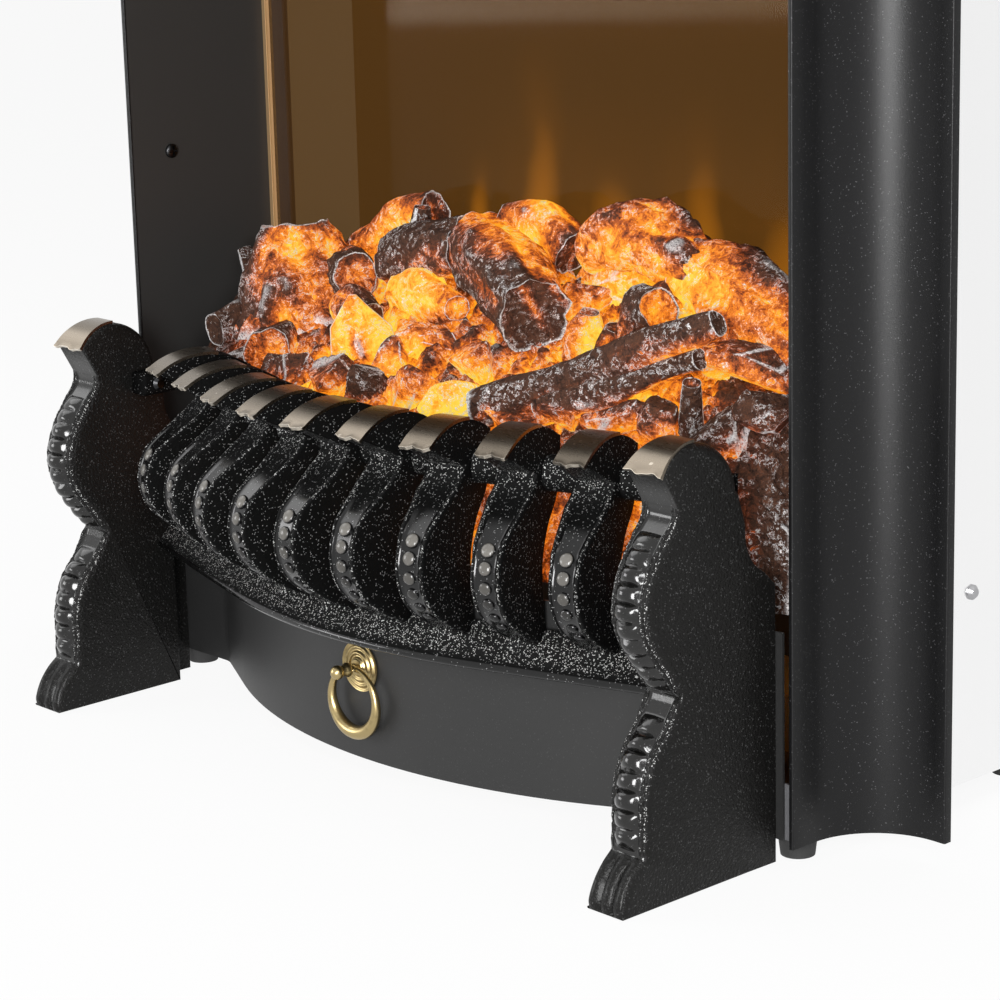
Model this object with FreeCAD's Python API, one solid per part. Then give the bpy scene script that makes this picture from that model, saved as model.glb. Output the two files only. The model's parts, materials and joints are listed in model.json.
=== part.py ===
import FreeCAD, Part
import os
from math import asin, cos, degrees, pi, radians, sin, sqrt, tan

V = FreeCAD.Vector
X_AXIS = V(1, 0, 0)
Y_AXIS = V(0, 1, 0)
Z_AXIS = V(0, 0, 1)

# Electric fireplace insert with a cast fret. Millimetres, Z up, the room is towards -Y.
# While modelling, Y = 0 is the front edge of the side panels and Z = 0 is the hearth.

# Case and front mouldings
sheet = 1.2
trim_width = 508.0
trim_top = 615.0
cove_radius = 34.0
lip_width = 5.6
lip_return = 4.0
wall_run = 12.0
foot_height = 10.0
foot_diameter = 17.0
foot_inset = 12.0
pan_flange = 24.0
back_flange = 12.0
rear_room = 15.0
slot_width = 4.0
slot_pitch = 9.0
slot_margin = 53.0

# Bow of the fret, seen from above: an arc in the middle with straight ends that meet the legs
bow_radius_share = 1.589
bow_end = -36.17
bow_sweep = 17.2

# Fret bars, measured back from the tip and up from the hearth
bar_count = 9
end_bay = 1.2
bar_width = 14.4
bar_tip_height = 167.3
bar_head_radius = 39.3
bar_tip_angle = 53.4
bar_cap_angle = 100.0
bar_head_angle = 126.0
bar_undercut = 25.9
bar_belly = 10.8
cap_skin = 1.2

# Rails that tie the bars together, and the lugs that meet the legs
rail_set_back = 14.5
rail_depth = 16.0
rail_bottom = 69.4
rail_lip = 3.0
rail_top = 86.5
web_set_back = 25.0
web_depth = 14.0
web_bottom = 147.0
web_height = 13.0
lug_width = 11.0
lug_front = -32.0

# Fret legs
leg_side_gap = 11.6
leg_width = 20.4
leg_rear = 4.5
leg_head_y = -40.0
leg_head_height = 159.0
leg_head_radius = 25.0
leg_tip_angle = 142.5
leg_cap_angle = 75.0
leg_rear_drop = 41.0
toe_slope = 12.5
toe_reach = 84.5
ankle_height = 22.0
toe_groove = 2.4
rebate_wall = 7.0
rebate_depth = 16.0
rebate_top = 66.0

# Ash-pan cover and its ring pull
cover_radius_share = 1.489
cover_corner_share = 0.8944
cover_sweep = 27.8
cover_bottom = 10.0
cover_top = 98.0
cover_overhang = 3.4
cover_bend = 12.0
pull_height = 53.0
rosette_diameter = 23.0
rosette_thickness = 2.6
post_radius = 3.4
post_eye = 2.2
post_reach = 11.0
ball_radius = 3.2
ring_diameter = 34.0
ring_top_wire = 2.6
ring_bottom_wire = 6.4
eye_clearance = 0.7
stud_diameter = 4.0
nut_width = 7.0
nut_height = 3.0

# Fire bed and flame effect
seat_gap = 0.3
deck_height = 100.0
bed_set_back = 50.0
bed_side_gap = 8.0
bed_wall = 4.0
bed_front_height = 46.0
bed_step_height = 64.0
bed_rear_height = 92.0
bed_step_front = 16.0
bed_step_rear = 42.0
glass_plane = 82.0
glass_thickness = 4.0
glass_side_gap = 1.5
flame_room = 54.0
screen_thickness = 2.0
screen_top_gap = 20.0
bracket_wing = 12.0
window_margin = 54.0
spindle_height = 30.0
spindle_diameter = 4.0
foil_reach = 15.0
foil_count = 11
running_clearance = 0.05
bush_wall = 2.0
spindle_end_room = 16.0
spindle_motor_diameter = 42.0
spindle_motor_length = 18.0
board_thickness = 1.6
board_height = 20.0
pillar_radius = 4.0
driver_length = 80.0
driver_width = 44.0
driver_height = 26.0
driver_corner = 3.0

# Canopy, heater and switches
canopy_front = 28.0
fan_diameter = 40.0
fan_tip_gap = 3.0
fan_room = 2.3
fan_shaft = 5.0
fan_motor_length = 36.0
blade_count = 18
duct_length = 61.0
grille_margin = 57.0
grille_width = 232.0
grille_height = 30.0
grille_border = 5.0
grille_neck = 8.0
slat_count = 5
element_depth = 14.0
switch_pitch = 26.0
switch_width = 13.0
switch_opening = 20.6
switch_wall = 1.6
switch_rim = 2.0
switch_depth = 12.0
bezel_height = 2.2
rocker_tilt = 8.0
rocker_pin = 3.0

# Fasteners and the cord's gland
screw_diameter = 3.4
screw_head = 6.6
screw_head_height = 2.2
reveal_screw_y = 22.6
reveal_screw_low = 256.0
reveal_screw_high = 480.0
cover_screw_low = 74.0
cover_screw_high = 90.0
screw_grip = 10.0
gland_side_gap = 62.0
gland_height = 46.0
gland_bore = 8.0
gland_wall = 3.0
gland_flange = 3.0

# Derived places
trim_half = trim_width / 2
moulding_width = 2 * sheet + cove_radius + lip_width
moulding_depth = wall_run + cove_radius + lip_return
open_half = trim_half - moulding_width
open_top = trim_top - moulding_width
panel_outer = open_half + sheet
cove_start = open_half + 2 * sheet
lip_front = wall_run + cove_radius
leg_outer = open_half - leg_side_gap
leg_inner = leg_outer - leg_width
bar_pitch = leg_inner / ((bar_count - 1) / 2 + end_bay)
bow_radius = bow_radius_share * leg_inner
cover_radius = cover_radius_share * leg_inner


def rise(radius, sweep, half):
    """Depth of an arc with straight tangent ends, out to a half width."""
    turn = radians(sweep)
    return radius * (1 - cos(turn)) + (half - radius * sin(turn)) * tan(turn)


bow_front = bow_end - rise(bow_radius, bow_sweep, leg_inner)
bow_centre = bow_front + bow_radius
cover_front = leg_rear - rise(cover_radius, cover_sweep, cover_corner_share * leg_inner)
leg_middle = leg_inner + leg_width / 2
cover_rear = leg_rear + sheet
cover_half = leg_outer + cover_overhang
pan_front = cover_rear + seat_gap
pan_top = foot_height + sheet
bed_half = open_half - bed_side_gap
glass_rear = glass_plane + glass_thickness
screen_plane = glass_rear + flame_room
deck_rear = screen_plane + screen_thickness + back_flange
case_rear = deck_rear + rear_room
gland_x = open_half - gland_side_gap
spindle_y = glass_rear + flame_room / 2
spindle_z = deck_height + spindle_height
spindle_left = spindle_end_room - open_half
spindle_right = open_half - spindle_end_room - spindle_motor_length - 2 * bracket_wing / 3
scroll_radius = fan_diameter / 2 + fan_tip_gap
canopy_bottom = open_top - 2 * (scroll_radius + sheet + fan_room)
fan_z = (canopy_bottom + open_top) / 2
duct_front = canopy_front + grille_neck
fan_y = duct_front + duct_length
grille_left = grille_margin - open_half
grille_right = grille_left + grille_width
duct_bottom = fan_z - grille_height / 2
duct_top = fan_z + grille_height / 2

parts = {}


def box(x0, x1, y0, y1, z0, z1):
    """Block between two corners."""
    return Part.makeBox(x1 - x0, y1 - y0, z1 - z0, V(x0, y0, z0))


def cylinder(radius, length, start, axis):
    """Round bar from a start point along an axis."""
    return Part.makeCylinder(radius, length, start, axis)


def flat_ring(outer, inner, thickness, start, axis):
    """Round plate with a hole."""
    return cylinder(outer, thickness, start, axis).cut(cylinder(inner, thickness, start, axis))


def mirrored(shape):
    """Left-hand copy of a right-hand piece."""
    return shape.mirror(V(0, 0, 0), X_AXIS)


def both_sides(shapes):
    """Right-hand pieces and their left-hand copies as one group."""
    return Part.makeCompound(shapes + [mirrored(shape) for shape in shapes])


def joined(shapes):
    """One solid from pieces that run into each other."""
    return shapes[0].multiFuse(shapes[1:]).removeSplitter()


def polygon(points):
    """Flat face inside a closed run of straight edges."""
    return Part.Face(Part.makePolygon(list(points) + [points[0]]))


def prism_x(outline, x0, x1):
    """Extrude an outline of (y, z) points across the width."""
    return polygon([V(x0, y, z) for y, z in outline]).extrude(V(x1 - x0, 0, 0))


def line(a, b):
    """Straight edge."""
    return Part.LineSegment(a, b).toShape()


def lines(points):
    """Straight edges through a run of points."""
    return [line(a, b) for a, b in zip(points, points[1:])]


def arc(a, b, c):
    """Circular edge through three points."""
    return Part.Arc(a, b, c).toShape()


def spline(points):
    """Smooth edge through a few points."""
    curve = Part.BSplineCurve()
    curve.interpolate(points)
    return curve.toShape()


def face(edges):
    """Flat face inside edges given in order."""
    return Part.Face(Part.Wire(edges))


def polar(centre, radius, angle):
    """Point (a, b) on a circle at an angle in degrees."""
    return (centre[0] + radius * cos(radians(angle)), centre[1] + radius * sin(radians(angle)))


def turned(outline, start, axis, across):
    """Turn an outline of (radius, distance along the axis) points about an axis."""
    points = [start + across * radius + axis * along for radius, along in outline]
    return polygon(points).revolve(start, axis, 360)


def bow_y(set_back, x):
    """Y of the bow's parallel curve, set back from the tips, at a given X."""
    radius = bow_radius - set_back
    edge = radius * sin(radians(bow_sweep))
    if abs(x) <= edge:
        return bow_centre - sqrt(radius * radius - x * x)
    return bow_centre - radius * cos(radians(bow_sweep)) + (abs(x) - edge) * tan(radians(bow_sweep))


def pan_screw(seat, direction, length):
    """Pan-head screw: its head sits at seat and its shank runs along direction."""
    across = direction.cross(V(direction.z, direction.x, direction.y))
    shank = screw_diameter / 2
    head = screw_head / 2
    outline = [(0, -screw_head_height), (head * 0.6, -screw_head_height), (head, -screw_head_height / 3),
               (head, 0), (shank, 0), (shank, length), (0, length)]
    return turned(outline, seat, direction, across)


def screw_hole(seat, direction, length):
    """Hole that the shank of a screw fills."""
    return cylinder(screw_diameter / 2, length, seat, direction)


# Front mouldings


def moulding_section(place):
    """Cove section; place turns (across, depth) into a point of the section's plane."""
    cove = (cove_start + cove_radius, wall_run)
    mid = polar(cove, cove_radius, 135)
    mid_back = polar(cove, cove_radius + sheet, 135)
    hem = [(open_half, 0), (open_half, -sheet), (cove_start, -sheet), (cove_start, wall_run)]
    lip = [(cove[0], lip_front), (trim_half, lip_front), (trim_half, moulding_depth),
           (trim_half - sheet, moulding_depth), (trim_half - sheet, lip_front + sheet),
           (cove[0], lip_front + sheet)]
    inner = [(panel_outer, wall_run), (panel_outer, 0), (open_half, 0)]
    edges = lines([place(*point) for point in hem])
    edges.append(arc(place(*hem[-1]), place(*mid), place(*lip[0])))
    edges += lines([place(*point) for point in lip])
    edges.append(arc(place(*lip[-1]), place(*mid_back), place(*inner[0])))
    edges += lines([place(*point) for point in inner])
    return face(edges)


def mitre_block():
    """Everything above the 45 degree mitre planes of the two top corners."""
    reach = 2 * moulding_width
    outline = [V(-open_half, -reach, open_top), V(open_half, -reach, open_top),
               V(open_half + reach, -reach, open_top + reach),
               V(-open_half - reach, -reach, open_top + reach)]
    return polygon(outline).extrude(V(0, 2 * reach + moulding_depth, 0))


def front_mouldings():
    """Left, right and top cove mouldings, mitred at the top corners."""
    upright = moulding_section(lambda across, depth: V(across, depth, foot_height))
    right = upright.extrude(V(0, 0, trim_top - foot_height)).cut(mitre_block())
    lift = open_top - open_half
    rail = moulding_section(lambda across, depth: V(-trim_half, depth, across + lift))
    parts["trim_right"] = right
    parts["trim_left"] = mirrored(right)
    parts["trim_top"] = rail.extrude(V(trim_width, 0, 0)).common(mitre_block())


# Case


def back_screw_places():
    """Seats of the screws that hold the back panel to the right side panel."""
    y = case_rear - back_flange / 2
    span = open_top - pan_top
    heights = [pan_top + span * share for share in (0.15, 0.5, 0.85)]
    return [(V(panel_outer, y, z), X_AXIS * -1, 2 * sheet) for z in heights]


def deck_screw_places():
    """Seats of the screws that hold the deck to the right side panel."""
    z = deck_height - back_flange / 2
    front = bow_y(bed_set_back + bed_wall, open_half) + back_flange
    return [(V(panel_outer, y, z), X_AXIS * -1, 2 * sheet) for y in (front, spindle_y)]


def reveal_screw_places():
    """Seats of the screws seen on the right reveal."""
    return [(V(open_half, reveal_screw_y, z), X_AXIS, sheet) for z in (reveal_screw_low, reveal_screw_high)]


def vent_slots(start, stop, place):
    """Row of long slots at an even pitch, each made by place from its lower edge."""
    count = int((stop - start) / slot_pitch)
    return [place(start + k * slot_pitch) for k in range(count)]


def case_panels():
    """Side panels, top panel, back panel and base pan, folded from sheet."""
    side = box(open_half, panel_outer, 0, case_rear, foot_height, open_top)
    seats = back_screw_places() + deck_screw_places() + reveal_screw_places()
    side = side.cut(Part.makeCompound([screw_hole(*seat) for seat in seats]))
    parts["side_panel_right"] = side
    parts["side_panel_left"] = mirrored(side)

    slot_half = open_half - slot_margin
    back_front = case_rear - back_flange
    top = box(-panel_outer, panel_outer, 0, case_rear, open_top, open_top + sheet)
    slots = vent_slots(fan_y + scroll_radius, back_front,
                       lambda y: box(-slot_half, slot_half, y, y + slot_width, open_top, open_top + sheet))
    parts["top_panel"] = top.cut(Part.makeCompound(slots))

    back = box(-open_half, open_half, back_front, case_rear, pan_top, open_top)
    back = back.cut(box(-open_half + sheet, open_half - sheet, back_front, case_rear - sheet,
                        pan_top + sheet, open_top - sheet))
    cuts = vent_slots(canopy_bottom - slot_margin, canopy_bottom,
                      lambda z: box(-slot_half, slot_half, back_front, case_rear, z, z + slot_width))
    gland = V(gland_x, back_front, gland_height)
    cuts.append(cylinder(gland_bore / 2 + gland_wall, back_flange, gland, Y_AXIS))
    holes = [screw_hole(*seat) for seat in back_screw_places()]
    parts["back_panel"] = back.cut(Part.makeCompound(cuts)).cut(both_sides(holes))

    rim = foot_height + pan_flange
    pan = box(-open_half, open_half, pan_front, case_rear, foot_height, rim)
    pan = pan.cut(box(-open_half + sheet, open_half - sheet, pan_front + sheet, case_rear, pan_top, rim))
    parts["base_pan"] = pan.cut(box(-open_half, open_half, back_front, case_rear, pan_top, rim))


def feet():
    """Four tapered rubber feet under the base pan."""
    radius = foot_diameter / 2
    shapes = [Part.makeCone(radius * 0.85, radius, foot_height, V(open_half - foot_inset, y, 0))
              for y in (pan_front + foot_inset, case_rear - foot_inset)]
    parts["rubber_feet"] = both_sides(shapes)


def case_fasteners():
    """Screws of the case, the pan heads seen on the reveals, and the cord's gland."""
    seats = back_screw_places() + deck_screw_places()
    parts["case_screws"] = both_sides([pan_screw(*seat) for seat in seats])
    parts["reveal_screws"] = both_sides([pan_screw(*seat) for seat in reveal_screw_places()])
    bore = gland_bore / 2
    neck = bore + gland_wall
    rim = neck + gland_flange
    outline = [(bore, gland_flange), (rim, gland_flange), (rim, 0), (neck, 0), (neck, -sheet),
               (rim, -sheet), (rim, -sheet - gland_flange), (neck, -sheet - gland_flange),
               (neck, -back_flange + sheet), (bore, -back_flange + sheet)]
    parts["cord_gland"] = turned(outline, V(gland_x, case_rear, gland_height), Y_AXIS, X_AXIS)


# Cast fret


def bar_profile():
    """S-shaped bar with its tip at Y = 0 and its front towards -Y, and the cap over its head."""
    head = polar((0, bar_tip_height), bar_head_radius, bar_tip_angle + 180)

    def place(forward, height):
        return V(-bar_width / 2, -forward, height)

    def on_head(radius, angle):
        return place(*polar(head, radius, angle))

    inner = bar_head_radius - cap_skin
    foot_front = (-bar_undercut + 1.3, rail_top - 4.2)
    foot_rear = (-rail_set_back - rail_depth, rail_top - 4.2)
    head_rear = polar(head, bar_head_radius, bar_head_angle)
    front = [(-bar_undercut, 153.7), (-bar_undercut + 4.7, 147.3), (-13.4, 141.7), (0.4, 133.5),
             (bar_belly - 3.5, 127.6), (bar_belly, 117), (bar_belly - 2.5, 106.2), (1.3, 97.3),
             (-9.6, 89.6), foot_front]
    rear = [foot_rear, (-29, 100), (-29, 115.8), (-34, 130), (-41.5, 140.4), (-45, 152), head_rear]
    mid_rear = (bar_cap_angle + bar_head_angle) / 2
    mid_cap = (bar_tip_angle + bar_cap_angle) / 2
    edges = [
        line(on_head(inner, bar_tip_angle), place(*front[0])),
        spline([place(*point) for point in front]),
        line(place(*foot_front), place(*foot_rear)),
        spline([place(*point) for point in rear]),
        arc(place(*head_rear), on_head(bar_head_radius, mid_rear), on_head(bar_head_radius, bar_cap_angle)),
        line(on_head(bar_head_radius, bar_cap_angle), on_head(inner, bar_cap_angle)),
        arc(on_head(inner, bar_cap_angle), on_head(inner, mid_cap), on_head(inner, bar_tip_angle)),
    ]
    skin = cap_section(on_head, bar_head_radius, bar_tip_angle, bar_cap_angle)
    sweep = V(bar_width, 0, 0)
    return face(edges).extrude(sweep), skin.extrude(sweep)


def cap_section(on_head, radius, tip_angle, end_angle):
    """Section of a bright cap that lies over a head between two angles."""
    inner = radius - cap_skin
    middle = (tip_angle + end_angle) / 2
    return face([
        arc(on_head(inner, tip_angle), on_head(inner, middle), on_head(inner, end_angle)),
        line(on_head(inner, end_angle), on_head(radius, end_angle)),
        arc(on_head(radius, end_angle), on_head(radius, middle), on_head(radius, tip_angle)),
        line(on_head(radius, tip_angle), on_head(inner, tip_angle)),
    ])


def bar_place(index):
    """Turn and shift of one bar on the bow, square to it."""
    x = (index - (bar_count - 1) / 2) * bar_pitch
    edge = bow_radius * sin(radians(bow_sweep))
    turn = degrees(asin(max(-edge, min(edge, x)) / bow_radius))
    return FreeCAD.Placement(V(x, bow_y(0, x), 0), FreeCAD.Rotation(Z_AXIS, turn))


def bowed_rail(section):
    """Run a section of (set back, height) points along the bow, out to the legs."""
    centre = V(0, bow_centre, 0)
    start = polygon([V(0, bow_front + back, height) for back, height in section])
    right_end = start.copy()
    right_end.rotate(centre, Z_AXIS, bow_sweep)
    start.rotate(centre, Z_AXIS, -bow_sweep)
    middle = start.revolve(centre, Z_AXIS, 2 * bow_sweep)
    along = V(cos(radians(bow_sweep)), sin(radians(bow_sweep)), 0) * leg_inner
    right = right_end.extrude(along)
    reach = box(-leg_inner, leg_inner, -bow_radius, bow_radius, 0, bar_tip_height)
    return joined([middle, right, mirrored(right)]).common(reach)


def fret_comb():
    """Nine bars, the bowed bottom rail and the upper web: one casting, with lugs for the legs."""
    bar, skin = bar_profile()
    pieces = []
    caps = []
    for index in range(bar_count):
        spot = bar_place(index)
        pieces.append(bar.copy())
        pieces[-1].Placement = spot
        caps.append(skin.copy())
        caps[-1].Placement = spot
    rail_rear = rail_set_back + rail_depth
    pieces.append(bowed_rail([
        (rail_set_back, rail_bottom + rail_lip), (rail_set_back + 1, rail_bottom), (rail_rear, rail_bottom),
        (rail_rear, rail_top), (rail_rear - 1.5, rail_top)]))
    web_rear = web_set_back + web_depth
    web_top = web_bottom + web_height
    pieces.append(bowed_rail([
        (web_set_back, web_bottom), (web_rear, web_bottom - 2), (web_rear, web_top),
        (web_set_back + 1, web_top)]))
    lug_inner = leg_inner - lug_width
    upper = box(lug_inner, leg_inner, lug_front, bow_y(web_rear, lug_inner), web_bottom + 1, web_top - 1)
    lower = box(lug_inner + 2, leg_inner, bow_y(rail_rear, lug_inner) - 4, leg_rear - seat_gap,
                rail_bottom + 1, rail_top - 1)
    pieces += [upper, lower, mirrored(upper), mirrored(lower)]
    holes = [screw_hole(*seat) for seat in fret_screw_places()]
    parts["fret_comb"] = joined(pieces).cut(both_sides(holes))
    parts["bar_caps"] = Part.makeCompound(caps)


def fret_screw_places():
    """Seats of the screws through the comb's lugs into the right leg."""
    lug_inner = leg_inner - lug_width
    upper = V(lug_inner, lug_front + 8, web_bottom + web_height / 2)
    lower = V(lug_inner + 2, leg_rear - seat_gap - screw_head / 2 - 1, (rail_bottom + rail_top) / 2)
    return [(upper, X_AXIS, lug_width + 8), (lower, X_AXIS, lug_width + 6)]


def cover_screw_places():
    """Seats of the screws through the cover's flange into the right leg."""
    return [(V(leg_middle, cover_rear, z), Y_AXIS * -1, sheet + screw_grip)
            for z in (cover_screw_low, cover_screw_high)]


def leg_profile():
    """Outline edges of a fret leg, front towards -Y, and the section of the cap over its head."""
    head = (leg_head_y, leg_head_height)

    def place(y, z):
        return V(leg_inner, y, z)

    def on_head(radius, angle):
        return place(*polar(head, radius, angle))

    def near_head(*points):
        return [(leg_head_y + across * leg_head_radius, leg_head_height + up * leg_head_radius)
                for across, up in points]

    inner = leg_head_radius - cap_skin
    undercut, waist = near_head((-0.44, 0.04), (-0.38, -3.04))
    ankle = (toe_slope - toe_reach, ankle_height)
    belly = near_head((-0.44, 0.04), (-0.47, -0.2), (-0.84, -0.6), (-1.1, -1.06), (-1.22, -1.56),
                      (-1.08, -2.12), (-0.62, -2.76), (-0.38, -3.04))
    calf = near_head((-0.38, -3.04), (-0.74, -3.52), (-1.08, -3.94), (-1.26, -4.52), (-1.28, -5)) + [ankle]
    toe = [ankle, (0.3 * toe_slope - toe_reach, ankle_height / 2), (-toe_reach, 0)]
    top = leg_head_height - leg_rear_drop
    shoulder = near_head((1.53, -1.39), (1.3, -1.21), (1.14, -0.88), (1.12, -0.52), (1, 0))
    shoulder.insert(0, (leg_rear, top))
    mid_cap = (leg_tip_angle + leg_cap_angle) / 2
    edges = [line(on_head(inner, leg_tip_angle), place(*undercut))]
    edges += [spline([place(*point) for point in run]) for run in (belly, calf, toe)]
    edges += lines([place(-toe_reach, 0), place(leg_rear, 0), place(*shoulder[0])])
    edges.append(spline([place(*point) for point in shoulder]))
    edges.append(arc(place(*shoulder[-1]), on_head(leg_head_radius, leg_cap_angle / 2),
                     on_head(leg_head_radius, leg_cap_angle)))
    edges.append(line(on_head(leg_head_radius, leg_cap_angle), on_head(inner, leg_cap_angle)))
    edges.append(arc(on_head(inner, leg_cap_angle), on_head(inner, mid_cap), on_head(inner, leg_tip_angle)))
    return edges, cap_section(on_head, leg_head_radius, leg_tip_angle, leg_cap_angle)


def toe_grooves():
    """Two grooves that part the paw into three toes."""
    start = V(leg_middle, 13.5 - toe_reach, ankle_height + 2)
    slope = V(leg_middle, -toe_reach - 1, -1) - start
    depth = V(0, -slope.z, slope.y).normalize() * toe_groove
    half = V(toe_groove / 2, 0, 0)
    shapes = []
    for share in (-1 / 6, 1 / 6):
        foot = start + V(share * leg_width, 0, 0)
        shapes.append(polygon([foot - depth - half, foot - depth + half, foot + depth]).extrude(slope))
    return shapes


def fret_legs():
    """Two S-shaped legs with paw feet, rebated behind beside the ash cover."""
    edges, skin = leg_profile()
    leg = face(edges).extrude(V(leg_width, 0, 0))
    cuts = [box(leg_inner, leg_outer - rebate_wall, leg_rear - rebate_depth, leg_rear, 0, rebate_top)]
    cuts += toe_grooves()
    cuts += [screw_hole(*seat) for seat in fret_screw_places() + cover_screw_places()]
    for cut in cuts:
        leg = leg.cut(cut)
    parts["fret_leg_right"] = leg
    parts["fret_leg_left"] = mirrored(leg)
    parts["leg_caps"] = both_sides([skin.extrude(V(leg_width, 0, 0))])
    parts["fret_screws"] = both_sides([pan_screw(*seat) for seat in fret_screw_places()])
    parts["cover_screws"] = both_sides([pan_screw(*seat) for seat in cover_screw_places()])


# Ash-pan cover and ring pull


def cover_run(grow, flange_y):
    """Corners of one side of the cover's plan: flange end, bend and where the arc begins."""
    radius = cover_radius - grow
    tangent = polar((0, cover_front + cover_radius), radius, cover_sweep - 90)
    bend = tangent[0] + (flange_y - tangent[1]) / tan(radians(cover_sweep))
    return [V(cover_half, flange_y, cover_bottom), V(bend, flange_y, cover_bottom),
            V(tangent[0], tangent[1], cover_bottom)]


def ash_cover():
    """Bowed cover with flat end flanges behind the legs."""
    def left(point):
        return V(-point.x, point.y, point.z)

    front = cover_run(0, leg_rear)
    rear = cover_run(sheet, cover_rear)
    edges = lines([left(point) for point in front])
    edges.append(arc(left(front[2]), V(0, cover_front, cover_bottom), front[2]))
    edges += lines(front[::-1] + rear)
    edges.append(arc(rear[2], V(0, cover_front + sheet, cover_bottom), left(rear[2])))
    edges += lines([left(point) for point in rear[::-1]] + [left(front[0])])
    height = cover_top - cover_bottom
    cover = face(edges).extrude(V(0, 0, height))
    for corner, radius in ((front[1].x, cover_bend), (rear[1].x, cover_bend + sheet)):
        bends = [edge for edge in cover.Edges if abs(abs(edge.CenterOfMass.x) - corner) < sheet / 100
                 and abs(edge.Length - height) < sheet / 100]
        cover = cover.makeFillet(radius, bends)
    holes = [screw_hole(*seat) for seat in cover_screw_places()]
    stud = cylinder(stud_diameter / 2, 2 * sheet, V(0, cover_front - sheet / 2, pull_height), Y_AXIS)
    parts["ash_cover"] = cover.cut(both_sides(holes)).cut(stud)


def ring_pull():
    """Ringed rosette, post with a ball end, hanging ring and the nut behind the cover."""
    seat = V(0, cover_front, pull_height)
    forward = Y_AXIS * -1
    edge = rosette_diameter / 2
    step = (edge - post_radius) / 6
    deep = rosette_thickness
    stud = stud_diameter / 2
    rosette = [(stud, 0), (edge - step / 2, 0), (edge, deep * 0.3), (edge - step, deep * 0.6),
               (edge - 2 * step, deep * 0.45), (edge - 3 * step, deep * 0.85),
               (edge - 4 * step, deep * 0.65), (edge - 5 * step, deep), (stud, deep)]
    parts["pull_rosette"] = turned(rosette, seat, forward, X_AXIS)

    eye = deep + post_eye
    ball = deep + post_reach
    neck = ball - ball_radius * 0.8
    stud_end = -sheet - seat_gap - nut_height - sheet
    post = turned([(0, stud_end), (stud, stud_end), (stud, deep), (edge - 5 * step, deep),
                   (post_radius, deep + 2), (post_radius, neck - 1), (post_radius * 0.6, neck), (0, neck)],
                  seat, forward, X_AXIS)
    knob = Part.makeSphere(ball_radius, seat + forward * ball)
    bore = ring_top_wire / 2 + eye_clearance
    hole = cylinder(bore, 4 * post_radius, seat + forward * eye - X_AXIS * 2 * post_radius, X_AXIS)
    parts["pull_post"] = joined([post, knob]).cut(hole)

    middle = seat + forward * eye + Z_AXIS * (ring_top_wire - ring_diameter) * 0.5
    stations = 20
    hoops = []
    for k in range(stations):
        angle = 2 * pi * k / stations
        wire = ring_top_wire + (ring_bottom_wire - ring_top_wire) * (1 - cos(angle)) / 2
        out = V(sin(angle), 0, cos(angle))
        along = V(cos(angle), 0, -sin(angle))
        spot = middle + out * ((ring_diameter - wire) / 2)
        hoops.append(Part.Wire(Part.makeCircle(wire / 2, spot, along)))
    parts["pull_ring"] = Part.makeLoft(hoops + hoops[:1], True, True)

    rear = seat + Y_AXIS * (sheet + seat_gap)
    corner = nut_width / sqrt(3)
    hexagon = [rear + V(cos(k * pi / 3), 0, sin(k * pi / 3)) * corner for k in range(6)]
    nut = polygon(hexagon).extrude(Y_AXIS * nut_height)
    parts["pull_nut"] = nut.cut(cylinder(stud, nut_height, rear, Y_AXIS))


# Fire bed and flame effect


def bowed_plan(set_back, half, rear, height):
    """Face with a straight back and a front that follows the bow."""
    radius = bow_radius - set_back
    edge = radius * sin(radians(bow_sweep))

    def place(x):
        return V(x, bow_y(set_back, x), height)

    edges = [line(place(-half), place(-edge)), arc(place(-edge), place(0), place(edge))]
    edges += lines([place(edge), place(half), V(half, rear, height), V(-half, rear, height), place(-half)])
    return face(edges)


def deck():
    """Shelf that carries the fire bed, the glass and the flame gear, with a light window."""
    under = deck_height - sheet
    set_back = bed_set_back + bed_wall
    plate = bowed_plan(set_back, open_half, deck_rear, under).extrude(Z_AXIS * sheet)
    front = bow_y(set_back, open_half)
    window = box(window_margin - open_half, open_half - window_margin, front, glass_plane - back_flange,
                 under, deck_height)
    flange = box(open_half - sheet, open_half, front, deck_rear, deck_height - back_flange, under)
    flange = flange.cut(Part.makeCompound([screw_hole(*seat) for seat in deck_screw_places()]))
    parts["deck"] = joined([plate.cut(window), flange, mirrored(flange)])


def rough_log(start, end, start_radius, end_radius, sides):
    """Faceted log, a little three-cornered, between two points."""
    axis = (end - start).normalize()
    across = axis.cross(Z_AXIS).normalize()
    up = across.cross(axis)
    rings = []
    for centre, radius in ((start, start_radius), (end, end_radius)):
        points = []
        for k in range(sides):
            angle = 2 * pi * k / sides
            reach = radius * (1 + 0.12 * cos(3 * angle))
            points.append(centre + across * (reach * cos(angle)) + up * (reach * sin(angle)))
        rings.append(Part.makePolygon(points + points[:1]))
    return Part.makeLoft(rings, True, True)


def heap(set_back, half, rear, drop):
    """Stepped heap that the logs lie on, lowered by drop."""
    solid = bowed_plan(set_back, half, rear, deck_height).extrude(Z_AXIS * 2 * bed_rear_height)
    base = deck_height - drop
    front = bow_y(set_back, 0)
    above = [(front, base + bed_front_height), (bed_step_front, base + bed_step_height),
             (bed_step_rear, base + bed_rear_height), (glass_plane, base + bed_rear_height + bed_wall),
             (glass_plane, base + 3 * bed_rear_height), (front, base + 3 * bed_rear_height)]
    return solid.cut(prism_x(above, -open_half, open_half))


def bed_log(start, end, start_radius, end_radius, sides):
    """Log between two places given as shares of the bed's half width, depth and height."""
    ends = [V(across * bed_half, back * glass_plane, deck_height + (1 + up) * bed_rear_height)
            for across, back, up in (start, end)]
    return rough_log(*ends, start_radius * bed_rear_height, end_radius * bed_rear_height, sides)


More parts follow.
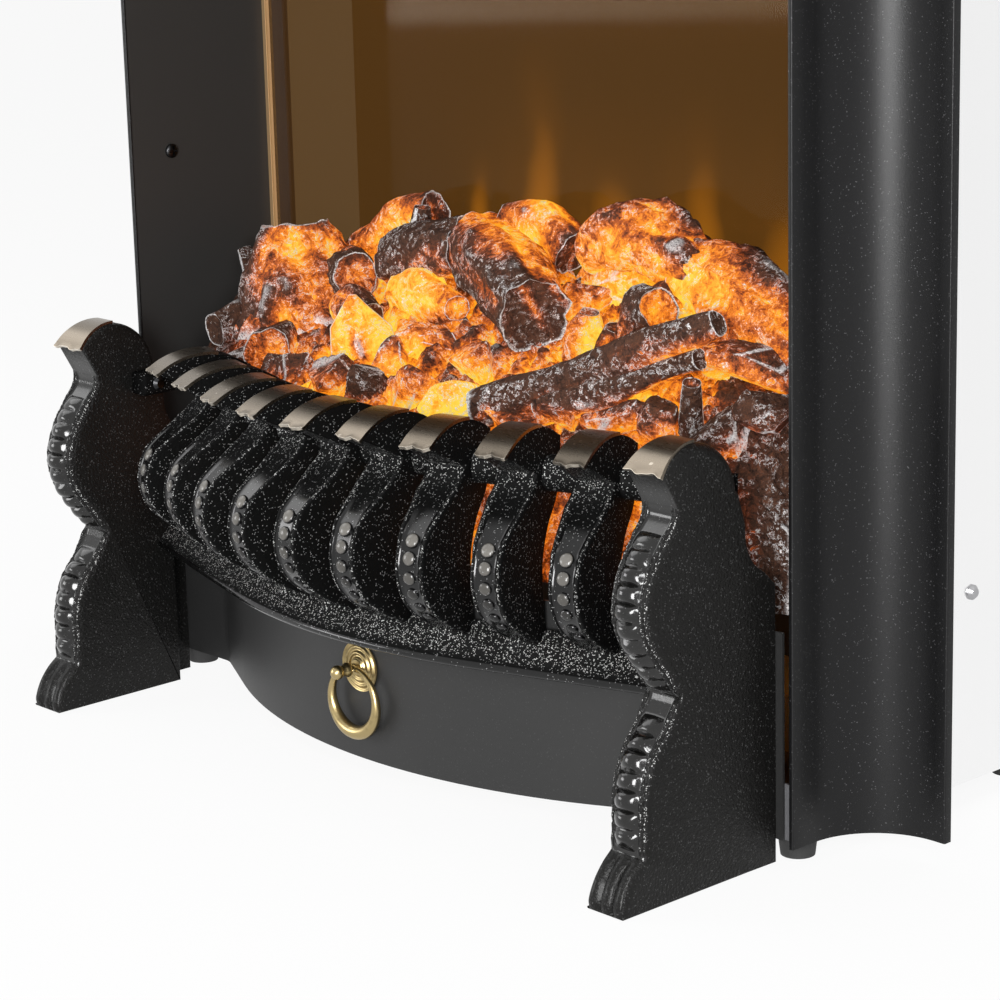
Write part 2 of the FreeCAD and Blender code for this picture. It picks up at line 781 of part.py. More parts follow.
def log_pile():
    """Logs, branches and wedges, placed over the heap as the picture shows them."""
    return [
        bed_log((-0.73, 0.63, -0.11), (-0.68, 0.56, 0.36), 0.29, 0.24, 9),
        bed_log((-0.47, 0.76, 0.02), (-0.23, 0.51, 0.48), 0.18, 0.15, 8),
        bed_log((-0.11, 0.76, 0.36), (0.17, 0.34, -0.02), 0.22, 0.22, 10),
        bed_log((0.23, 0.76, 0.15), (0.51, 0.61, 0.57), 0.18, 0.17, 9),
        bed_log((0.54, 0.66, 0.13), (0.9, 0.51, 0.35), 0.18, 0.15, 8),
        bed_log((-0.55, 0.8, 0), (0.12, 0.8, 0.07), 0.14, 0.15, 7),
        bed_log((0.1, 0.8, 0.07), (0.74, 0.78, 0), 0.15, 0.14, 7),
        bed_log((0.1, -0.07, -0.34), (0.75, 0.22, 0.24), 0.09, 0.055, 7),
        bed_log((0.24, -0.1, -0.39), (0.69, 0.1, -0.09), 0.08, 0.055, 6),
        bed_log((-0.46, 0.22, -0.33), (-0.29, 0.12, 0.09), 0.15, 0.055, 6),
        bed_log((-0.87, 0.68, -0.17), (-0.83, 0.32, -0.26), 0.15, 0.14, 8),
        bed_log((-0.72, 0.61, -0.15), (-0.68, 0.1, -0.28), 0.14, 0.13, 8),
        bed_log((0.87, 0.68, -0.13), (0.9, 0.37, 0), 0.17, 0.11, 6),
    ]


def coals():
    """Leaning wedges of coal along the front of the bed."""
    count = 13
    size = bed_front_height
    shapes = []
    for k in range(count):
        x = (2 * k / (count - 1) - 1) * (bed_half - 4 * bed_wall)
        lean = 0.33 if k % 2 else -0.28
        base = V(x, bow_y(bed_set_back, x) + size / 3, deck_height + size - bed_wall)
        shapes.append(rough_log(base, base + V(lean, 0.11, 0.52) * size, size * 0.28, size * 0.17, 5))
    return shapes


def fuel_bed():
    """Moulded bed of logs and coals, hollow below so that light shines up through it."""
    rear = glass_plane - 2
    limit = bowed_plan(bed_set_back, bed_half, rear, deck_height).extrude(Z_AXIS * 2 * bed_rear_height)
    bed = heap(bed_set_back, bed_half, rear, 0)
    for log in log_pile() + coals():
        bed = bed.fuse(log.common(limit))
    hollow = heap(bed_set_back + bed_wall, bed_half - bed_wall, rear - bed_wall, bed_wall)
    parts["fuel_bed"] = bed.cut(hollow).removeSplitter()


def flame_glass():
    """Half-mirror glass behind the bed with its side brackets, and the flame screen."""
    half = open_half - glass_side_gap
    parts["flame_glass"] = box(-half, half, glass_plane, glass_rear, deck_height, canopy_bottom - seat_gap)
    high = canopy_bottom - bracket_wing
    side = box(open_half - sheet, open_half, glass_rear, glass_rear + bracket_wing, deck_height, high)
    wing = box(open_half - bracket_wing, open_half, glass_rear, glass_rear + sheet, deck_height, high)
    parts["glass_brackets"] = both_sides([joined([side, wing])])
    parts["flame_screen"] = box(-half, half, screen_plane, screen_plane + screen_thickness,
                                deck_height, canopy_bottom - screen_top_gap)


def lamp_board(half, y0, y1, z, rows, count):
    """Circuit board with rows of small square lamps."""
    lamp = 2.5
    pieces = [box(-half, half, y0, y1, z, z + board_thickness)]
    for row in range(rows):
        y = y0 + (row + 0.5) * (y1 - y0) / rows
        for k in range(count):
            x = -half + (k + 0.5) * 2 * half / count
            pieces.append(box(x - lamp, x + lamp, y - lamp, y + lamp, z, z + board_thickness + lamp))
    return joined(pieces)


def lamps():
    """Lamp boards behind and under the bed, pillars and the driver on the base pan."""
    strip_front = glass_rear + bracket_wing / 4
    parts["flame_led_strip"] = lamp_board(spindle_right - 2 * bracket_wing, strip_front,
                                          strip_front + bracket_wing * 0.8, deck_height, 1, 12)
    half = open_half - window_margin - bracket_wing
    front = pan_front + bracket_wing
    rear = glass_plane - back_flange
    parts["ember_led_board"] = lamp_board(half, front, rear, pan_top + board_height, 2, 9)
    inset = 2 * pillar_radius
    pillars = [cylinder(pillar_radius, board_height, V(half - inset, y, pan_top), Z_AXIS)
               for y in (front + inset, rear - inset)]
    parts["board_pillars"] = both_sides(pillars)
    right = gland_x - bracket_wing
    case = box(right - driver_length, right, glass_rear, glass_rear + driver_width,
               pan_top, pan_top + driver_height)
    upright = [edge for edge in case.Edges if abs(edge.Length - driver_height) < sheet / 100]
    parts["led_driver"] = case.makeFillet(driver_corner, upright)


def flame_gear():
    """Turning reflector spindle, its brackets, bushes and motor."""
    bush = spindle_diameter / 2 + bush_wall
    bore = spindle_diameter / 2 + running_clearance
    width = 2 * (foil_reach - bush_wall)
    bushes = []
    for name, x in (("spindle_bracket_left", spindle_left), ("spindle_bracket_right", spindle_right)):
        centre = V(x, spindle_y, spindle_z)
        y0 = spindle_y - width / 2
        y1 = spindle_y + width / 2
        upright = box(x, x + sheet, y0, y1, deck_height, spindle_z + width / 2)
        foot = box(x - bracket_wing, x + sheet, y0, y1, deck_height, deck_height + sheet)
        parts[name] = joined([upright, foot]).cut(cylinder(bush, sheet, centre, X_AXIS))
        outline = [(bore, -bush_wall), (bush + bush_wall, -bush_wall), (bush + bush_wall, 0), (bush, 0),
                   (bush, sheet), (bore, sheet)]
        bushes.append(turned(outline, centre, X_AXIS, Z_AXIS))
    parts["spindle_bushes"] = Part.makeCompound(bushes)

    face_x = spindle_right + sheet
    bore_depth = spindle_motor_length / 2
    centre = V(face_x, spindle_y, spindle_z)
    radius = spindle_motor_diameter / 2
    body = cylinder(radius, spindle_motor_length, centre, X_AXIS)
    terminal = box(face_x + 3, face_x + spindle_motor_length - 3, spindle_y - radius / 2,
                   spindle_y + radius / 2, spindle_z, spindle_z + radius + 5)
    parts["spindle_motor"] = joined([body, terminal]).cut(cylinder(bore, bore_depth, centre, X_AXIS))

    axis = V(0, spindle_y, spindle_z)
    start = spindle_left - bush_wall - 1
    length = face_x + bore_depth - 1 - start
    pieces = [cylinder(spindle_diameter / 2, length, axis + X_AXIS * start, X_AXIS)]
    run = spindle_right - spindle_left - 2 * bracket_wing
    pitch = run / foil_count
    for k in range(foil_count):
        x = spindle_left + bracket_wing + k * pitch
        foil = box(x, x + pitch * 0.8, spindle_y - 0.4, spindle_y + 0.4,
                   spindle_z - foil_reach, spindle_z + foil_reach)
        foil.rotate(axis, X_AXIS, 65.0 * k)
        pieces.append(foil)
    parts["flame_spindle"] = joined(pieces)


# Canopy, heater and switches


def switch_places():
    """X of the three rocker switches, midway between the grille and the side panel."""
    middle = (grille_right + grille_border + open_half) / 2
    return [middle + k * switch_pitch for k in (-1, 0, 1)]


def canopy():
    """Folded cover over the top of the opening, with the outlet window and switch cut-outs."""
    rear = glass_rear + bracket_wing
    flange_top = canopy_bottom + back_flange
    fascia = box(-open_half, open_half, canopy_front, canopy_front + sheet, canopy_bottom, open_top)
    under = box(-open_half, open_half, canopy_front, rear, canopy_bottom, canopy_bottom + sheet)
    flange = box(open_half - sheet, open_half, canopy_front, rear, canopy_bottom, flange_top)
    shape = joined([fascia, under, flange, mirrored(flange)])
    y0 = canopy_front
    y1 = canopy_front + sheet
    cuts = [box(grille_left, grille_right, y0, y1, duct_bottom, duct_top)]
    reach = switch_width / 2 + switch_wall
    rise = switch_opening / 2 + switch_wall
    cuts += [box(x - reach, x + reach, y0, y1, fan_z - rise, fan_z + rise) for x in switch_places()]
    parts["canopy"] = shape.cut(Part.makeCompound(cuts))


def outlet_grille():
    """Warm-air grille: a flat frame with a short neck and slanted slats."""
    front = canopy_front - sheet
    way = box(grille_left + sheet, grille_right - sheet, front, duct_front,
              duct_bottom + sheet, duct_top - sheet)
    frame = box(grille_left - grille_border, grille_right + grille_border, front, canopy_front,
                duct_bottom - grille_border, duct_top + grille_border)
    neck = box(grille_left, grille_right, front, duct_front, duct_bottom, duct_top)
    pieces = [joined([frame, neck]).cut(way)]
    pitch = (grille_height - 2 * sheet) / slat_count
    rise = pitch / 2
    for k in range(slat_count):
        z = duct_bottom + sheet + k * pitch + rise / 2
        rear = duct_front - 1
        outline = [(front, z), (rear, z + rise), (rear, z + rise + sheet), (front, z + sheet)]
        pieces.append(prism_x(outline, grille_left, grille_right))
    parts["outlet_grille"] = joined(pieces)


def heater():
    """Fan heater: scroll housing, cross-flow impeller, bush, motor, element and cut-out."""
    left = grille_left - sheet
    right = grille_right + sheet
    wall = 2 * sheet

    def scroll(x0, x1, grow, y0):
        drum = cylinder(scroll_radius + grow, x1 - x0, V(x0, fan_y, fan_z), X_AXIS)
        return drum.fuse(box(x0, x1, y0, fan_y, duct_bottom - grow, duct_top + grow))

    outer = scroll(left - wall, right + wall, sheet, duct_front)
    inner = scroll(left, right, 0, duct_front)
    mouth = box(left, right, fan_y + fan_diameter / 4, fan_y + 2 * scroll_radius,
                fan_z - fan_diameter / 3, fan_z + fan_diameter / 3)
    bush = fan_shaft / 2 + bush_wall
    bore = fan_shaft / 2 + running_clearance
    seat = cylinder(bush, wall, V(left - wall, fan_y, fan_z), X_AXIS)
    way = cylinder(fan_shaft / 2 + 1, wall, V(right, fan_y, fan_z), X_AXIS)
    parts["heater_housing"] = outer.cut(Part.makeCompound([inner, mouth, seat, way])).removeSplitter()
    parts["fan_bush"] = flat_ring(bush, bore, wall, V(left - wall, fan_y, fan_z), X_AXIS)

    axis = V(0, fan_y, fan_z)
    motor_x = right + wall
    motor_end = motor_x + fan_motor_length
    radius = scroll_radius - 1
    can = cylinder(radius, fan_motor_length * 0.6, axis + X_AXIS * motor_x, X_AXIS)
    stack = box(motor_x + fan_motor_length / 5, motor_end, fan_y - radius * 0.6, fan_y + radius * 0.6,
                fan_z - radius * 0.9, fan_z + radius * 0.9)
    bore_depth = fan_motor_length / 3
    seat = cylinder(bore, bore_depth, axis + X_AXIS * motor_x, X_AXIS)
    parts["fan_motor"] = joined([can, stack]).cut(seat)

    start = left - wall
    length = motor_x + bore_depth - 1 - start
    pieces = [cylinder(fan_shaft / 2, length, axis + X_AXIS * start, X_AXIS)]
    disc = 1.5
    rotor_left = left + fan_tip_gap
    rotor_right = right - fan_tip_gap
    rim = fan_diameter / 2
    for x in (rotor_left, (rotor_left + rotor_right - disc) / 2, rotor_right - disc):
        pieces.append(cylinder(rim, disc, axis + X_AXIS * x, X_AXIS))
    chord = rim / 3
    for k in range(blade_count):
        blade = box(rotor_left, rotor_right, fan_y + rim - chord, fan_y + rim - 0.3,
                    fan_z - 0.4, fan_z + 0.4)
        blade.rotate(axis + Y_AXIS * (rim - chord / 2), X_AXIS, 30)
        blade.rotate(axis, X_AXIS, 360.0 * k / blade_count)
        pieces.append(blade)
    parts["fan_impeller"] = joined(pieces)

    element_y = duct_front + element_depth / 2
    border = 4.0
    frame = box(left, right, element_y, element_y + element_depth, duct_bottom, duct_top)
    frame = frame.cut(box(left + border, right - border, element_y, element_y + element_depth,
                          duct_bottom + border, duct_top - border))
    rods = [frame]
    rows = 3
    for row in range(rows):
        z = duct_bottom + border + (row + 0.5) * (grille_height - 2 * border) / rows
        for share in (0.3, 0.7):
            start = V(left + border / 2, element_y + share * element_depth, z)
            rods.append(cylinder(1.5, right - left - border, start, X_AXIS))
    parts["heating_element"] = joined(rods)

    middle = V((left + right) / 2, element_y + 2 * element_depth, duct_top + sheet)
    disc = cylinder(8, 4, middle, Z_AXIS)
    tab = box(middle.x - 12, middle.x + 12, middle.y - 2, middle.y + 2, middle.z, middle.z + 1)
    parts["thermal_cutout"] = joined([disc, tab])


def switches():
    """Three rocker switches: snap-in bodies, and rockers on their pivot pins."""
    bezel = canopy_front - bezel_height
    rear = canopy_front + switch_depth
    pivot_y = canopy_front + 2.4
    half = switch_width / 2
    rise = switch_opening / 2
    key = rise - 4 * seat_gap
    bodies = []
    for number, x in enumerate(switch_places(), 1):
        wall_x = half + switch_wall
        wall_z = rise + switch_wall
        shell = box(x - wall_x, x + wall_x, bezel, rear, fan_z - wall_z, fan_z + wall_z)
        rim = box(x - wall_x - switch_rim, x + wall_x + switch_rim, bezel, canopy_front,
                  fan_z - wall_z - switch_rim, fan_z + wall_z + switch_rim)
        pocket = box(x - half, x + half, bezel, rear - switch_wall, fan_z - rise, fan_z + rise)
        pin_reach = half + switch_wall / 2
        pivot = V(x, pivot_y, fan_z)
        socket_radius = rocker_pin / 2 + running_clearance
        socket = cylinder(socket_radius, 2 * pin_reach, pivot - X_AXIS * pin_reach, X_AXIS)
        bodies.append(joined([shell, rim]).cut(pocket).cut(socket))
        dip = key * tan(radians(rocker_tilt))
        front = bezel - pivot_y
        outline = [(front, 0), (front - dip, key), (3, key), (5, 0), (3, -key), (front - dip, -key)]
        outline = [(pivot_y + y, fan_z + z) for y, z in outline]
        rocker = prism_x(outline, x - half + seat_gap, x + half - seat_gap)
        rocker.rotate(pivot, X_AXIS, rocker_tilt)
        pin_reach -= running_clearance
        pin = cylinder(rocker_pin / 2, 2 * pin_reach, pivot - X_AXIS * pin_reach, X_AXIS)
        parts["rocker_%d" % number] = joined([rocker, pin])
    parts["switch_bodies"] = Part.makeCompound(bodies)


def build():
    """Model every piece, centre the insert over its origin and write one file per piece."""
    front_mouldings()
    case_panels()
    feet()
    case_fasteners()
    fret_comb()
    fret_legs()
    ash_cover()
    ring_pull()
    deck()
    fuel_bed()
    flame_glass()
    lamps()
    flame_gear()
    canopy()
    outlet_grille()
    heater()
    switches()
    front_most = parts["fret_comb"].BoundBox.YMin
    middle = V(0, -(front_most + case_rear + gland_flange) / 2, 0)
    os.makedirs("parts", exist_ok=True)
    for name, shape in parts.items():
        shape.translate(middle)
        shape.exportStep("parts/%s.step" % name)
    print("pieces", len(parts), "moved along Y by", round(middle.y, 3))


build()
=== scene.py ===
"""Looks of an electric fireplace insert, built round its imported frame.

Sizes of pieces are in millimetres and angles in degrees. Depths are counted from the front edge of the
side panels, so that negative ones lie towards the room. Finishes and the studio are in metres.
"""

import json
import logging
import math
from dataclasses import dataclass
from enum import Enum
from typing import Any, Callable, ClassVar, Dict, List, Optional, Sequence, Tuple, Union

import bmesh
import bpy
import numpy as np
from mathutils import Matrix, Vector

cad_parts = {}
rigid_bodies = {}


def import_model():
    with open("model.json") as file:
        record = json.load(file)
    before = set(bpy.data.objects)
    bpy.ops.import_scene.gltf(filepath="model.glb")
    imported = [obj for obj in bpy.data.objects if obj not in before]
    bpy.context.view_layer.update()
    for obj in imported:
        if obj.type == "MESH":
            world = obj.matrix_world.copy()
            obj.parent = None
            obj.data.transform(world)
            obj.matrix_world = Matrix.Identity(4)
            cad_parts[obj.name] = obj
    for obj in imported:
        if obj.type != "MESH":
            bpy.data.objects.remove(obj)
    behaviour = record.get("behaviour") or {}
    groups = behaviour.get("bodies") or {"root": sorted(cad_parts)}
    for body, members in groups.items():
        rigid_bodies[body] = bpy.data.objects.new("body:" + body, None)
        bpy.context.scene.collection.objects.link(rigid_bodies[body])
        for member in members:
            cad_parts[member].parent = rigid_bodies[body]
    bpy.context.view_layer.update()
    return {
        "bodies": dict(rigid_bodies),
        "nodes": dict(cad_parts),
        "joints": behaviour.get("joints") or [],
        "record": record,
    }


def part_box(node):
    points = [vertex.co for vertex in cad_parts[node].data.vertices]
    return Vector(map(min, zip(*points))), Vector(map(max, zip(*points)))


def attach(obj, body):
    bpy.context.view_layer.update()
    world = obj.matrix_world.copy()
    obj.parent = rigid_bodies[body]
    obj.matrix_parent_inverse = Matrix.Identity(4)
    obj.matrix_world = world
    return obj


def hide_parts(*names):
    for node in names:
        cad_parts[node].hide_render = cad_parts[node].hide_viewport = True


LOG = logging.getLogger("insert")
Array = np.ndarray
Colour = Tuple[float, float, float]
Point = Tuple[float, float, float]
Placing = Callable[[Array, Any], Array]
Stops = Tuple[Tuple[float, Colour], ...]
Value = Union["Wire", float, Tuple[float, ...]]
MM = 0.001
BLACK: Colour = (0.0, 0.0, 0.0)


class Body(Enum):
    """Bodies of the frame that pieces ride on."""

    CASE = "chassis"
    FRONT = "front"
    RING = "ring"


class Wire:
    """A shader value that takes part in Python arithmetic."""

    def __init__(self, shade: "Shade", socket: Any) -> None:
        """Keep the socket and the shade that owns it."""
        self.shade = shade
        self.socket = socket

    def _math(self, operation: str, *values: Value) -> "Wire":
        """Add one Math node on the values."""
        return self.shade.node("ShaderNodeMath", {"operation": operation}, dict(enumerate(values)))

    def __add__(self, other: Value) -> "Wire":
        """Sum."""
        return self._math("ADD", self, other)

    __radd__ = __add__

    def __sub__(self, other: Value) -> "Wire":
        """Difference."""
        return self._math("SUBTRACT", self, other)

    def __rsub__(self, other: Value) -> "Wire":
        """Difference from a number."""
        return self._math("SUBTRACT", other, self)

    def __mul__(self, other: Value) -> "Wire":
        """Product."""
        return self._math("MULTIPLY", self, other)

    __rmul__ = __mul__

    def __gt__(self, other: Value) -> "Wire":
        """One where the value is larger, else nought."""
        return self._math("GREATER_THAN", self, other)

    def __abs__(self) -> "Wire":
        """Size without its sign."""
        return self._math("ABSOLUTE", self)

    def top(self, other: Value) -> "Wire":
        """Larger of two values."""
        return self._math("MAXIMUM", self, other)

    def step(self, low: float, high: float) -> "Wire":
        """Smooth step from nought at low to one at high."""
        settings = {"interpolation_type": "SMOOTHSTEP"}
        return self.shade.node("ShaderNodeMapRange", settings, {0: self, 1: low, 2: high, 3: 0.0, 4: 1.0})


class Stuff(Enum):
    """What a set of nodes is for: its output and its main shader."""

    MATERIAL = ("ShaderNodeOutputMaterial", "ShaderNodeBsdfPrincipled")
    WORLD = ("ShaderNodeOutputWorld", "ShaderNodeBackground")


class Shade:
    """Builds the nodes of one material, or of the world."""

    def __init__(self, name: str, stuff: Stuff = Stuff.MATERIAL) -> None:
        """Start with one main shader.

        Args:
            name: name of the material or the world.
            stuff: which of the two it is.
        """
        store = bpy.data.worlds if stuff is Stuff.WORLD else bpy.data.materials
        self.material = store.new(name)
        self.material.use_nodes = True
        self.tree = self.material.node_tree
        self.tree.nodes.clear()
        self.output, self.shader = (self.tree.nodes.new(kind) for kind in stuff.value)
        self.tree.links.new(self.shader.outputs[0], self.output.inputs[0])
        self._place: Optional[Wire] = None

    def node(self, kind: str, settings: Dict[str, Any], values: Dict[Any, Value], out: Any = 0) -> Wire:
        """Add a node.

        Args:
            kind: the node's type.
            settings: its properties, set first; "stops" fills a ramp.
            values: numbers, colours or wires for its sockets.
            out: the output to return.

        Returns:
            The chosen output as a wire.
        """
        made = self.tree.nodes.new(kind)
        for key, value in settings.items():
            if key == "stops":
                self._fill_ramp(made.color_ramp, value)
            else:
                setattr(made, key, value)
        for key, value in values.items():
            self.put(made.inputs[key], value)
        return Wire(self, made.outputs[out])

    def _fill_ramp(self, ramp: Any, stops: Sequence[Tuple[float, Colour]]) -> None:
        """Set a ramp's stops.

        Args:
            ramp: the ramp of a node.
            stops: place and colour of each stop.
        """
        while len(ramp.elements) < len(stops):
            ramp.elements.new(1.0)
        for element, (place, colour) in zip(ramp.elements, stops):
            element.position = place
            element.color = (*colour, 1.0)

    def put(self, socket: Any, value: Value) -> None:
        """Link a wire to a socket, or set the socket's own value.

        Args:
            socket: takes the value.
            value: a wire, number, colour or vector.
        """
        if isinstance(value, Wire):
            self.tree.links.new(value.socket, socket)
        elif isinstance(value, tuple) and len(value) == 3 and len(socket.default_value) == 4:
            socket.default_value = (*value, 1.0)
        else:
            socket.default_value = value

    def set(self, **values: Value) -> None:
        """Give the main shader its values; underscores stand for spaces."""
        for key, value in values.items():
            self.put(self.shader.inputs[key.replace("_", " ")], value)

    def place(self) -> Wire:
        """Find the position on the piece.

        Returns:
            The position in metres, from one node that all share.
        """
        if self._place is None:
            self._place = self.node("ShaderNodeTexCoord", {}, {}, "Object")
        return self._place

    def axis(self, name: str) -> Wire:
        """One coordinate of the position."""
        return self.node("ShaderNodeSeparateXYZ", {}, {0: self.place()}, name)

    def stretched(self, scale: Point) -> Wire:
        """Position with its axes scaled."""
        return self.node("ShaderNodeVectorMath", {"operation": "MULTIPLY"}, {0: self.place(), 1: scale})

    def bent(self, scale: float, reach: float) -> Wire:
        """Push the position about by noise.

        Args:
            scale: how fine the noise is.
            reach: how far it pushes, in metres.

        Returns:
            The moved position.
        """
        values = {"Vector": self.place(), "Scale": scale, "Detail": 3.0}
        push = self.node("ShaderNodeTexNoise", {}, values, "Color")
        return self.node("ShaderNodeVectorMath", {"operation": "MULTIPLY_ADD"},
                         {0: push, 1: (reach, reach, reach), 2: self.place()})

    def noise(self, scale: float, detail: float = 3.0, rough: float = 0.55, where: Optional[Wire] = None,
              twist: float = 0.0) -> Wire:
        """Make cloudy noise.

        Args:
            scale: how fine it is.
            detail: number of finer layers.
            rough: strength of those layers.
            where: position to use in place of the piece's own.
            twist: how far it is distorted.

        Returns:
            A value between about nought and one.
        """
        values = {"Vector": where or self.place(), "Scale": scale, "Detail": detail, "Roughness": rough,
                  "Distortion": twist}
        return self.node("ShaderNodeTexNoise", {}, values)

    def fine(self, scale: float) -> Wire:
        """Noise of two layers, for a fine grain."""
        return self.noise(scale, 2.0)

    def cells(self, scale: float) -> Wire:
        """A random value for each small cell."""
        cell = self.node("ShaderNodeTexVoronoi", {}, {"Vector": self.place(), "Scale": scale}, "Color")
        return self.node("ShaderNodeSeparateColor", {}, {0: cell})

    def mix(self, share: Value, first: Value, second: Value) -> Wire:
        """Blend two colours."""
        return self.node("ShaderNodeMix", {"data_type": "RGBA"}, {0: share, 6: first, 7: second}, 2)

    def ramp(self, value: Wire, *stops: Tuple[float, Colour]) -> Wire:
        """Turn a value into colours."""
        return self.node("ShaderNodeValToRGB", {"stops": stops}, {0: value})

    def bump(self, height: Wire, strength: float, depth: float) -> Wire:
        """Normal for a height in units of depth metres."""
        return self.node("ShaderNodeBump", {}, {"Height": height, "Strength": strength, "Distance": depth})

    def kept(self, name: str) -> Wire:
        """A value stored on the mesh's points."""
        return self.node("ShaderNodeAttribute", {"attribute_name": name}, {}, "Fac")


@dataclass(frozen=True)
class Finish:
    """A finish and its material."""

    name: str
    colour: Colour
    roughness: float
    made: ClassVar[Dict[str, bpy.types.Material]] = {}

    def material(self) -> bpy.types.Material:
        """Make the material at its first use.

        Returns:
            The material, which all pieces of this finish share.
        """
        if self.name not in Finish.made:
            shade = Shade(self.name)
            self.dress(shade)
            Finish.made[self.name] = shade.material
        return Finish.made[self.name]

    def dress(self, shade: Shade) -> None:
        """Add the finish's nodes."""
        raise NotImplementedError

    def shaded(self, share: float) -> Colour:
        """The colour made darker or lighter."""
        return tuple(part * share for part in self.colour)

    def varied(self, shade: Shade, share: Wire, spread: float) -> Wire:
        """The colour, up to a spread darker and lighter."""
        return shade.mix(share, self.shaded(1.0 - spread), self.shaded(1.0 + spread))


@dataclass(frozen=True)
class SatinSheet(Finish):
    """Powder-coated sheet metal with a fine sparkle.

    Attributes:
        grain: fineness of the powder.
        cloud: fineness of the slight unevenness.
        sparkle: cells above this value sparkle.
        fleck: how strongly they do.
        spark: their colour.
        sheen: level of the plain reflection.
        relief: strength of the grain.
        depth: height of the grain in metres.
    """

    grain: float = 2600.0
    cloud: float = 9.0
    sparkle: float = 0.985
    fleck: float = 0.12
    spark: Colour = (0.4, 0.4, 0.41)
    sheen: float = 0.4
    relief: float = 0.16
    depth: float = 0.0003

    def dress(self, shade: Shade) -> None:
        """Fine grain, a few bright flecks and a slight unevenness.

        Args:
            shade: takes the nodes.
        """
        grain = shade.fine(self.grain)
        cloud = shade.noise(self.cloud)
        fleck = shade.cells(self.grain) > self.sparkle
        tone = self.varied(shade, cloud, 0.15)
        shade.set(Base_Color=shade.mix(fleck * self.fleck, tone, self.spark),
                  Roughness=cloud * 0.06 + grain * 0.08 + (self.roughness - 0.07),
                  Specular_IOR_Level=self.sheen, Normal=shade.bump(grain, self.relief, self.depth))


@dataclass(frozen=True)
class LinedSheet(Finish):
    """Side panel: satin paint inside, bare zinc outside, and flame light on it behind the glass.

    Attributes:
        glass: depth in metres behind which the flames light it.
        deck: height in metres above which they do.
        inside: half width in metres past which the zinc is bare.
        zinc: colour of the zinc.
        gloss: roughness of the zinc.
        flame_light: light of the flames.
        grain: fineness of the powder.
        sheen: level of the plain reflection.
        relief: strength of the grain.
        depth: height of the grain in metres.
    """

    glass: float = 0.0415
    deck: float = 0.102
    inside: float = 0.2126
    zinc: Colour = (0.92, 0.92, 0.92)
    gloss: float = 0.12
    flame_light: Colour = (0.2, 0.125, 0.055)
    grain: float = 2600.0
    sheen: float = 0.3
    relief: float = 0.12
    depth: float = 0.0002

    def dress(self, shade: Shade) -> None:
        """Paint, zinc and lit part, told apart by place.

        Args:
            shade: takes the nodes.
        """
        grain = shade.fine(self.grain)
        zinc = abs(shade.axis("X")) > self.inside
        lit = (shade.axis("Y") > self.glass) * (shade.axis("Z") > self.deck) * (1.0 - zinc)
        tone = self.varied(shade, grain, 0.2)
        shade.set(Base_Color=shade.mix(zinc, tone, self.zinc), Metallic=zinc,
                  Roughness=grain * 0.06 + zinc * (self.gloss - self.roughness) + self.roughness,
                  Emission_Color=shade.mix(lit, BLACK, self.flame_light), Emission_Strength=1.0,
                  Specular_IOR_Level=self.sheen, Normal=shade.bump(grain, self.relief, self.depth))


@dataclass(frozen=True)
class CastIron(Finish):
    """Gloss-enamelled casting: smooth fronts, and grit with painted glints where the stored ridge is high.

    Attributes:
        peel: fineness of the leathery skin.
        grit: fineness of the grit.
        speck: fineness of the flecks.
        drift: fineness of the slow change of tone.
        depth: height of the skin in metres.
        relief: strength of the skin.
        dull: roughness added on plain sides.
        specular: level of the plain reflection.
        gloss: weight of the enamel's coat on the fronts.
        fleck: tone of the flecks on plain sides.
        glint: colour of the painted glints, bright flecks on the grit.
        sand: colour of the grit.
        crown: colour of a painted highlight on the pearls' crowns.
    """

    peel: float = 800.0
    grit: float = 1900.0
    speck: float = 2600.0
    drift: float = 34.0
    depth: float = 0.0006
    relief: float = 0.6
    dull: float = 0.4
    specular: float = 0.02
    gloss: float = 0.75
    fleck: float = 0.2
    glint: Colour = (0.48, 0.48, 0.47)
    sand: Colour = (0.025, 0.025, 0.025)
    # painted highlight colour for the pearls' crowns
    crown: Colour = (0.13, 0.122, 0.11)

    def dress(self, shade: Shade) -> None:
        """Leathery skin, grit, small flecks with painted glints, and a painted highlight on the crowns.

        Args:
            shade: takes the nodes.
        """
        grain = shade.kept("ridge")
        peel = shade.noise(self.peel, 2.0, 0.5)
        grit = shade.noise(self.grit, 1.0)
        drift = shade.fine(self.drift)
        side = grain.step(0.03, 0.12)
        fleck = (shade.cells(self.speck) + grain * 0.14) > 0.99
        tone = shade.mix(drift, self.shaded(0.7), self.shaded(1.4))
        # painted highlight: the stored light turns the pearls' crowns towards the crown colour
        tone = shade.mix(shade.kept("light"), tone, self.crown)
        gritty = shade.mix(grain * grit, tone, self.sand)
        # painted glints: flecks on the grit take the glint colour, flecks on plain sides a dim tone
        bright = shade.mix(grain.step(0.2, 0.7), (self.fleck, self.fleck, self.fleck), self.glint)
        skin = peel * (side * 0.8 + 0.2) + grit * grain * 0.9
        shade.set(Base_Color=shade.mix(fleck * 0.9, gritty, bright),
                  Roughness=drift * 0.06 + side * self.dull + (self.roughness - 0.03),
                  Specular_IOR_Level=self.specular, Coat_Weight=(1.0 - side) * self.gloss,
                  Coat_Roughness=self.roughness, Normal=shade.bump(skin, self.relief, self.depth))


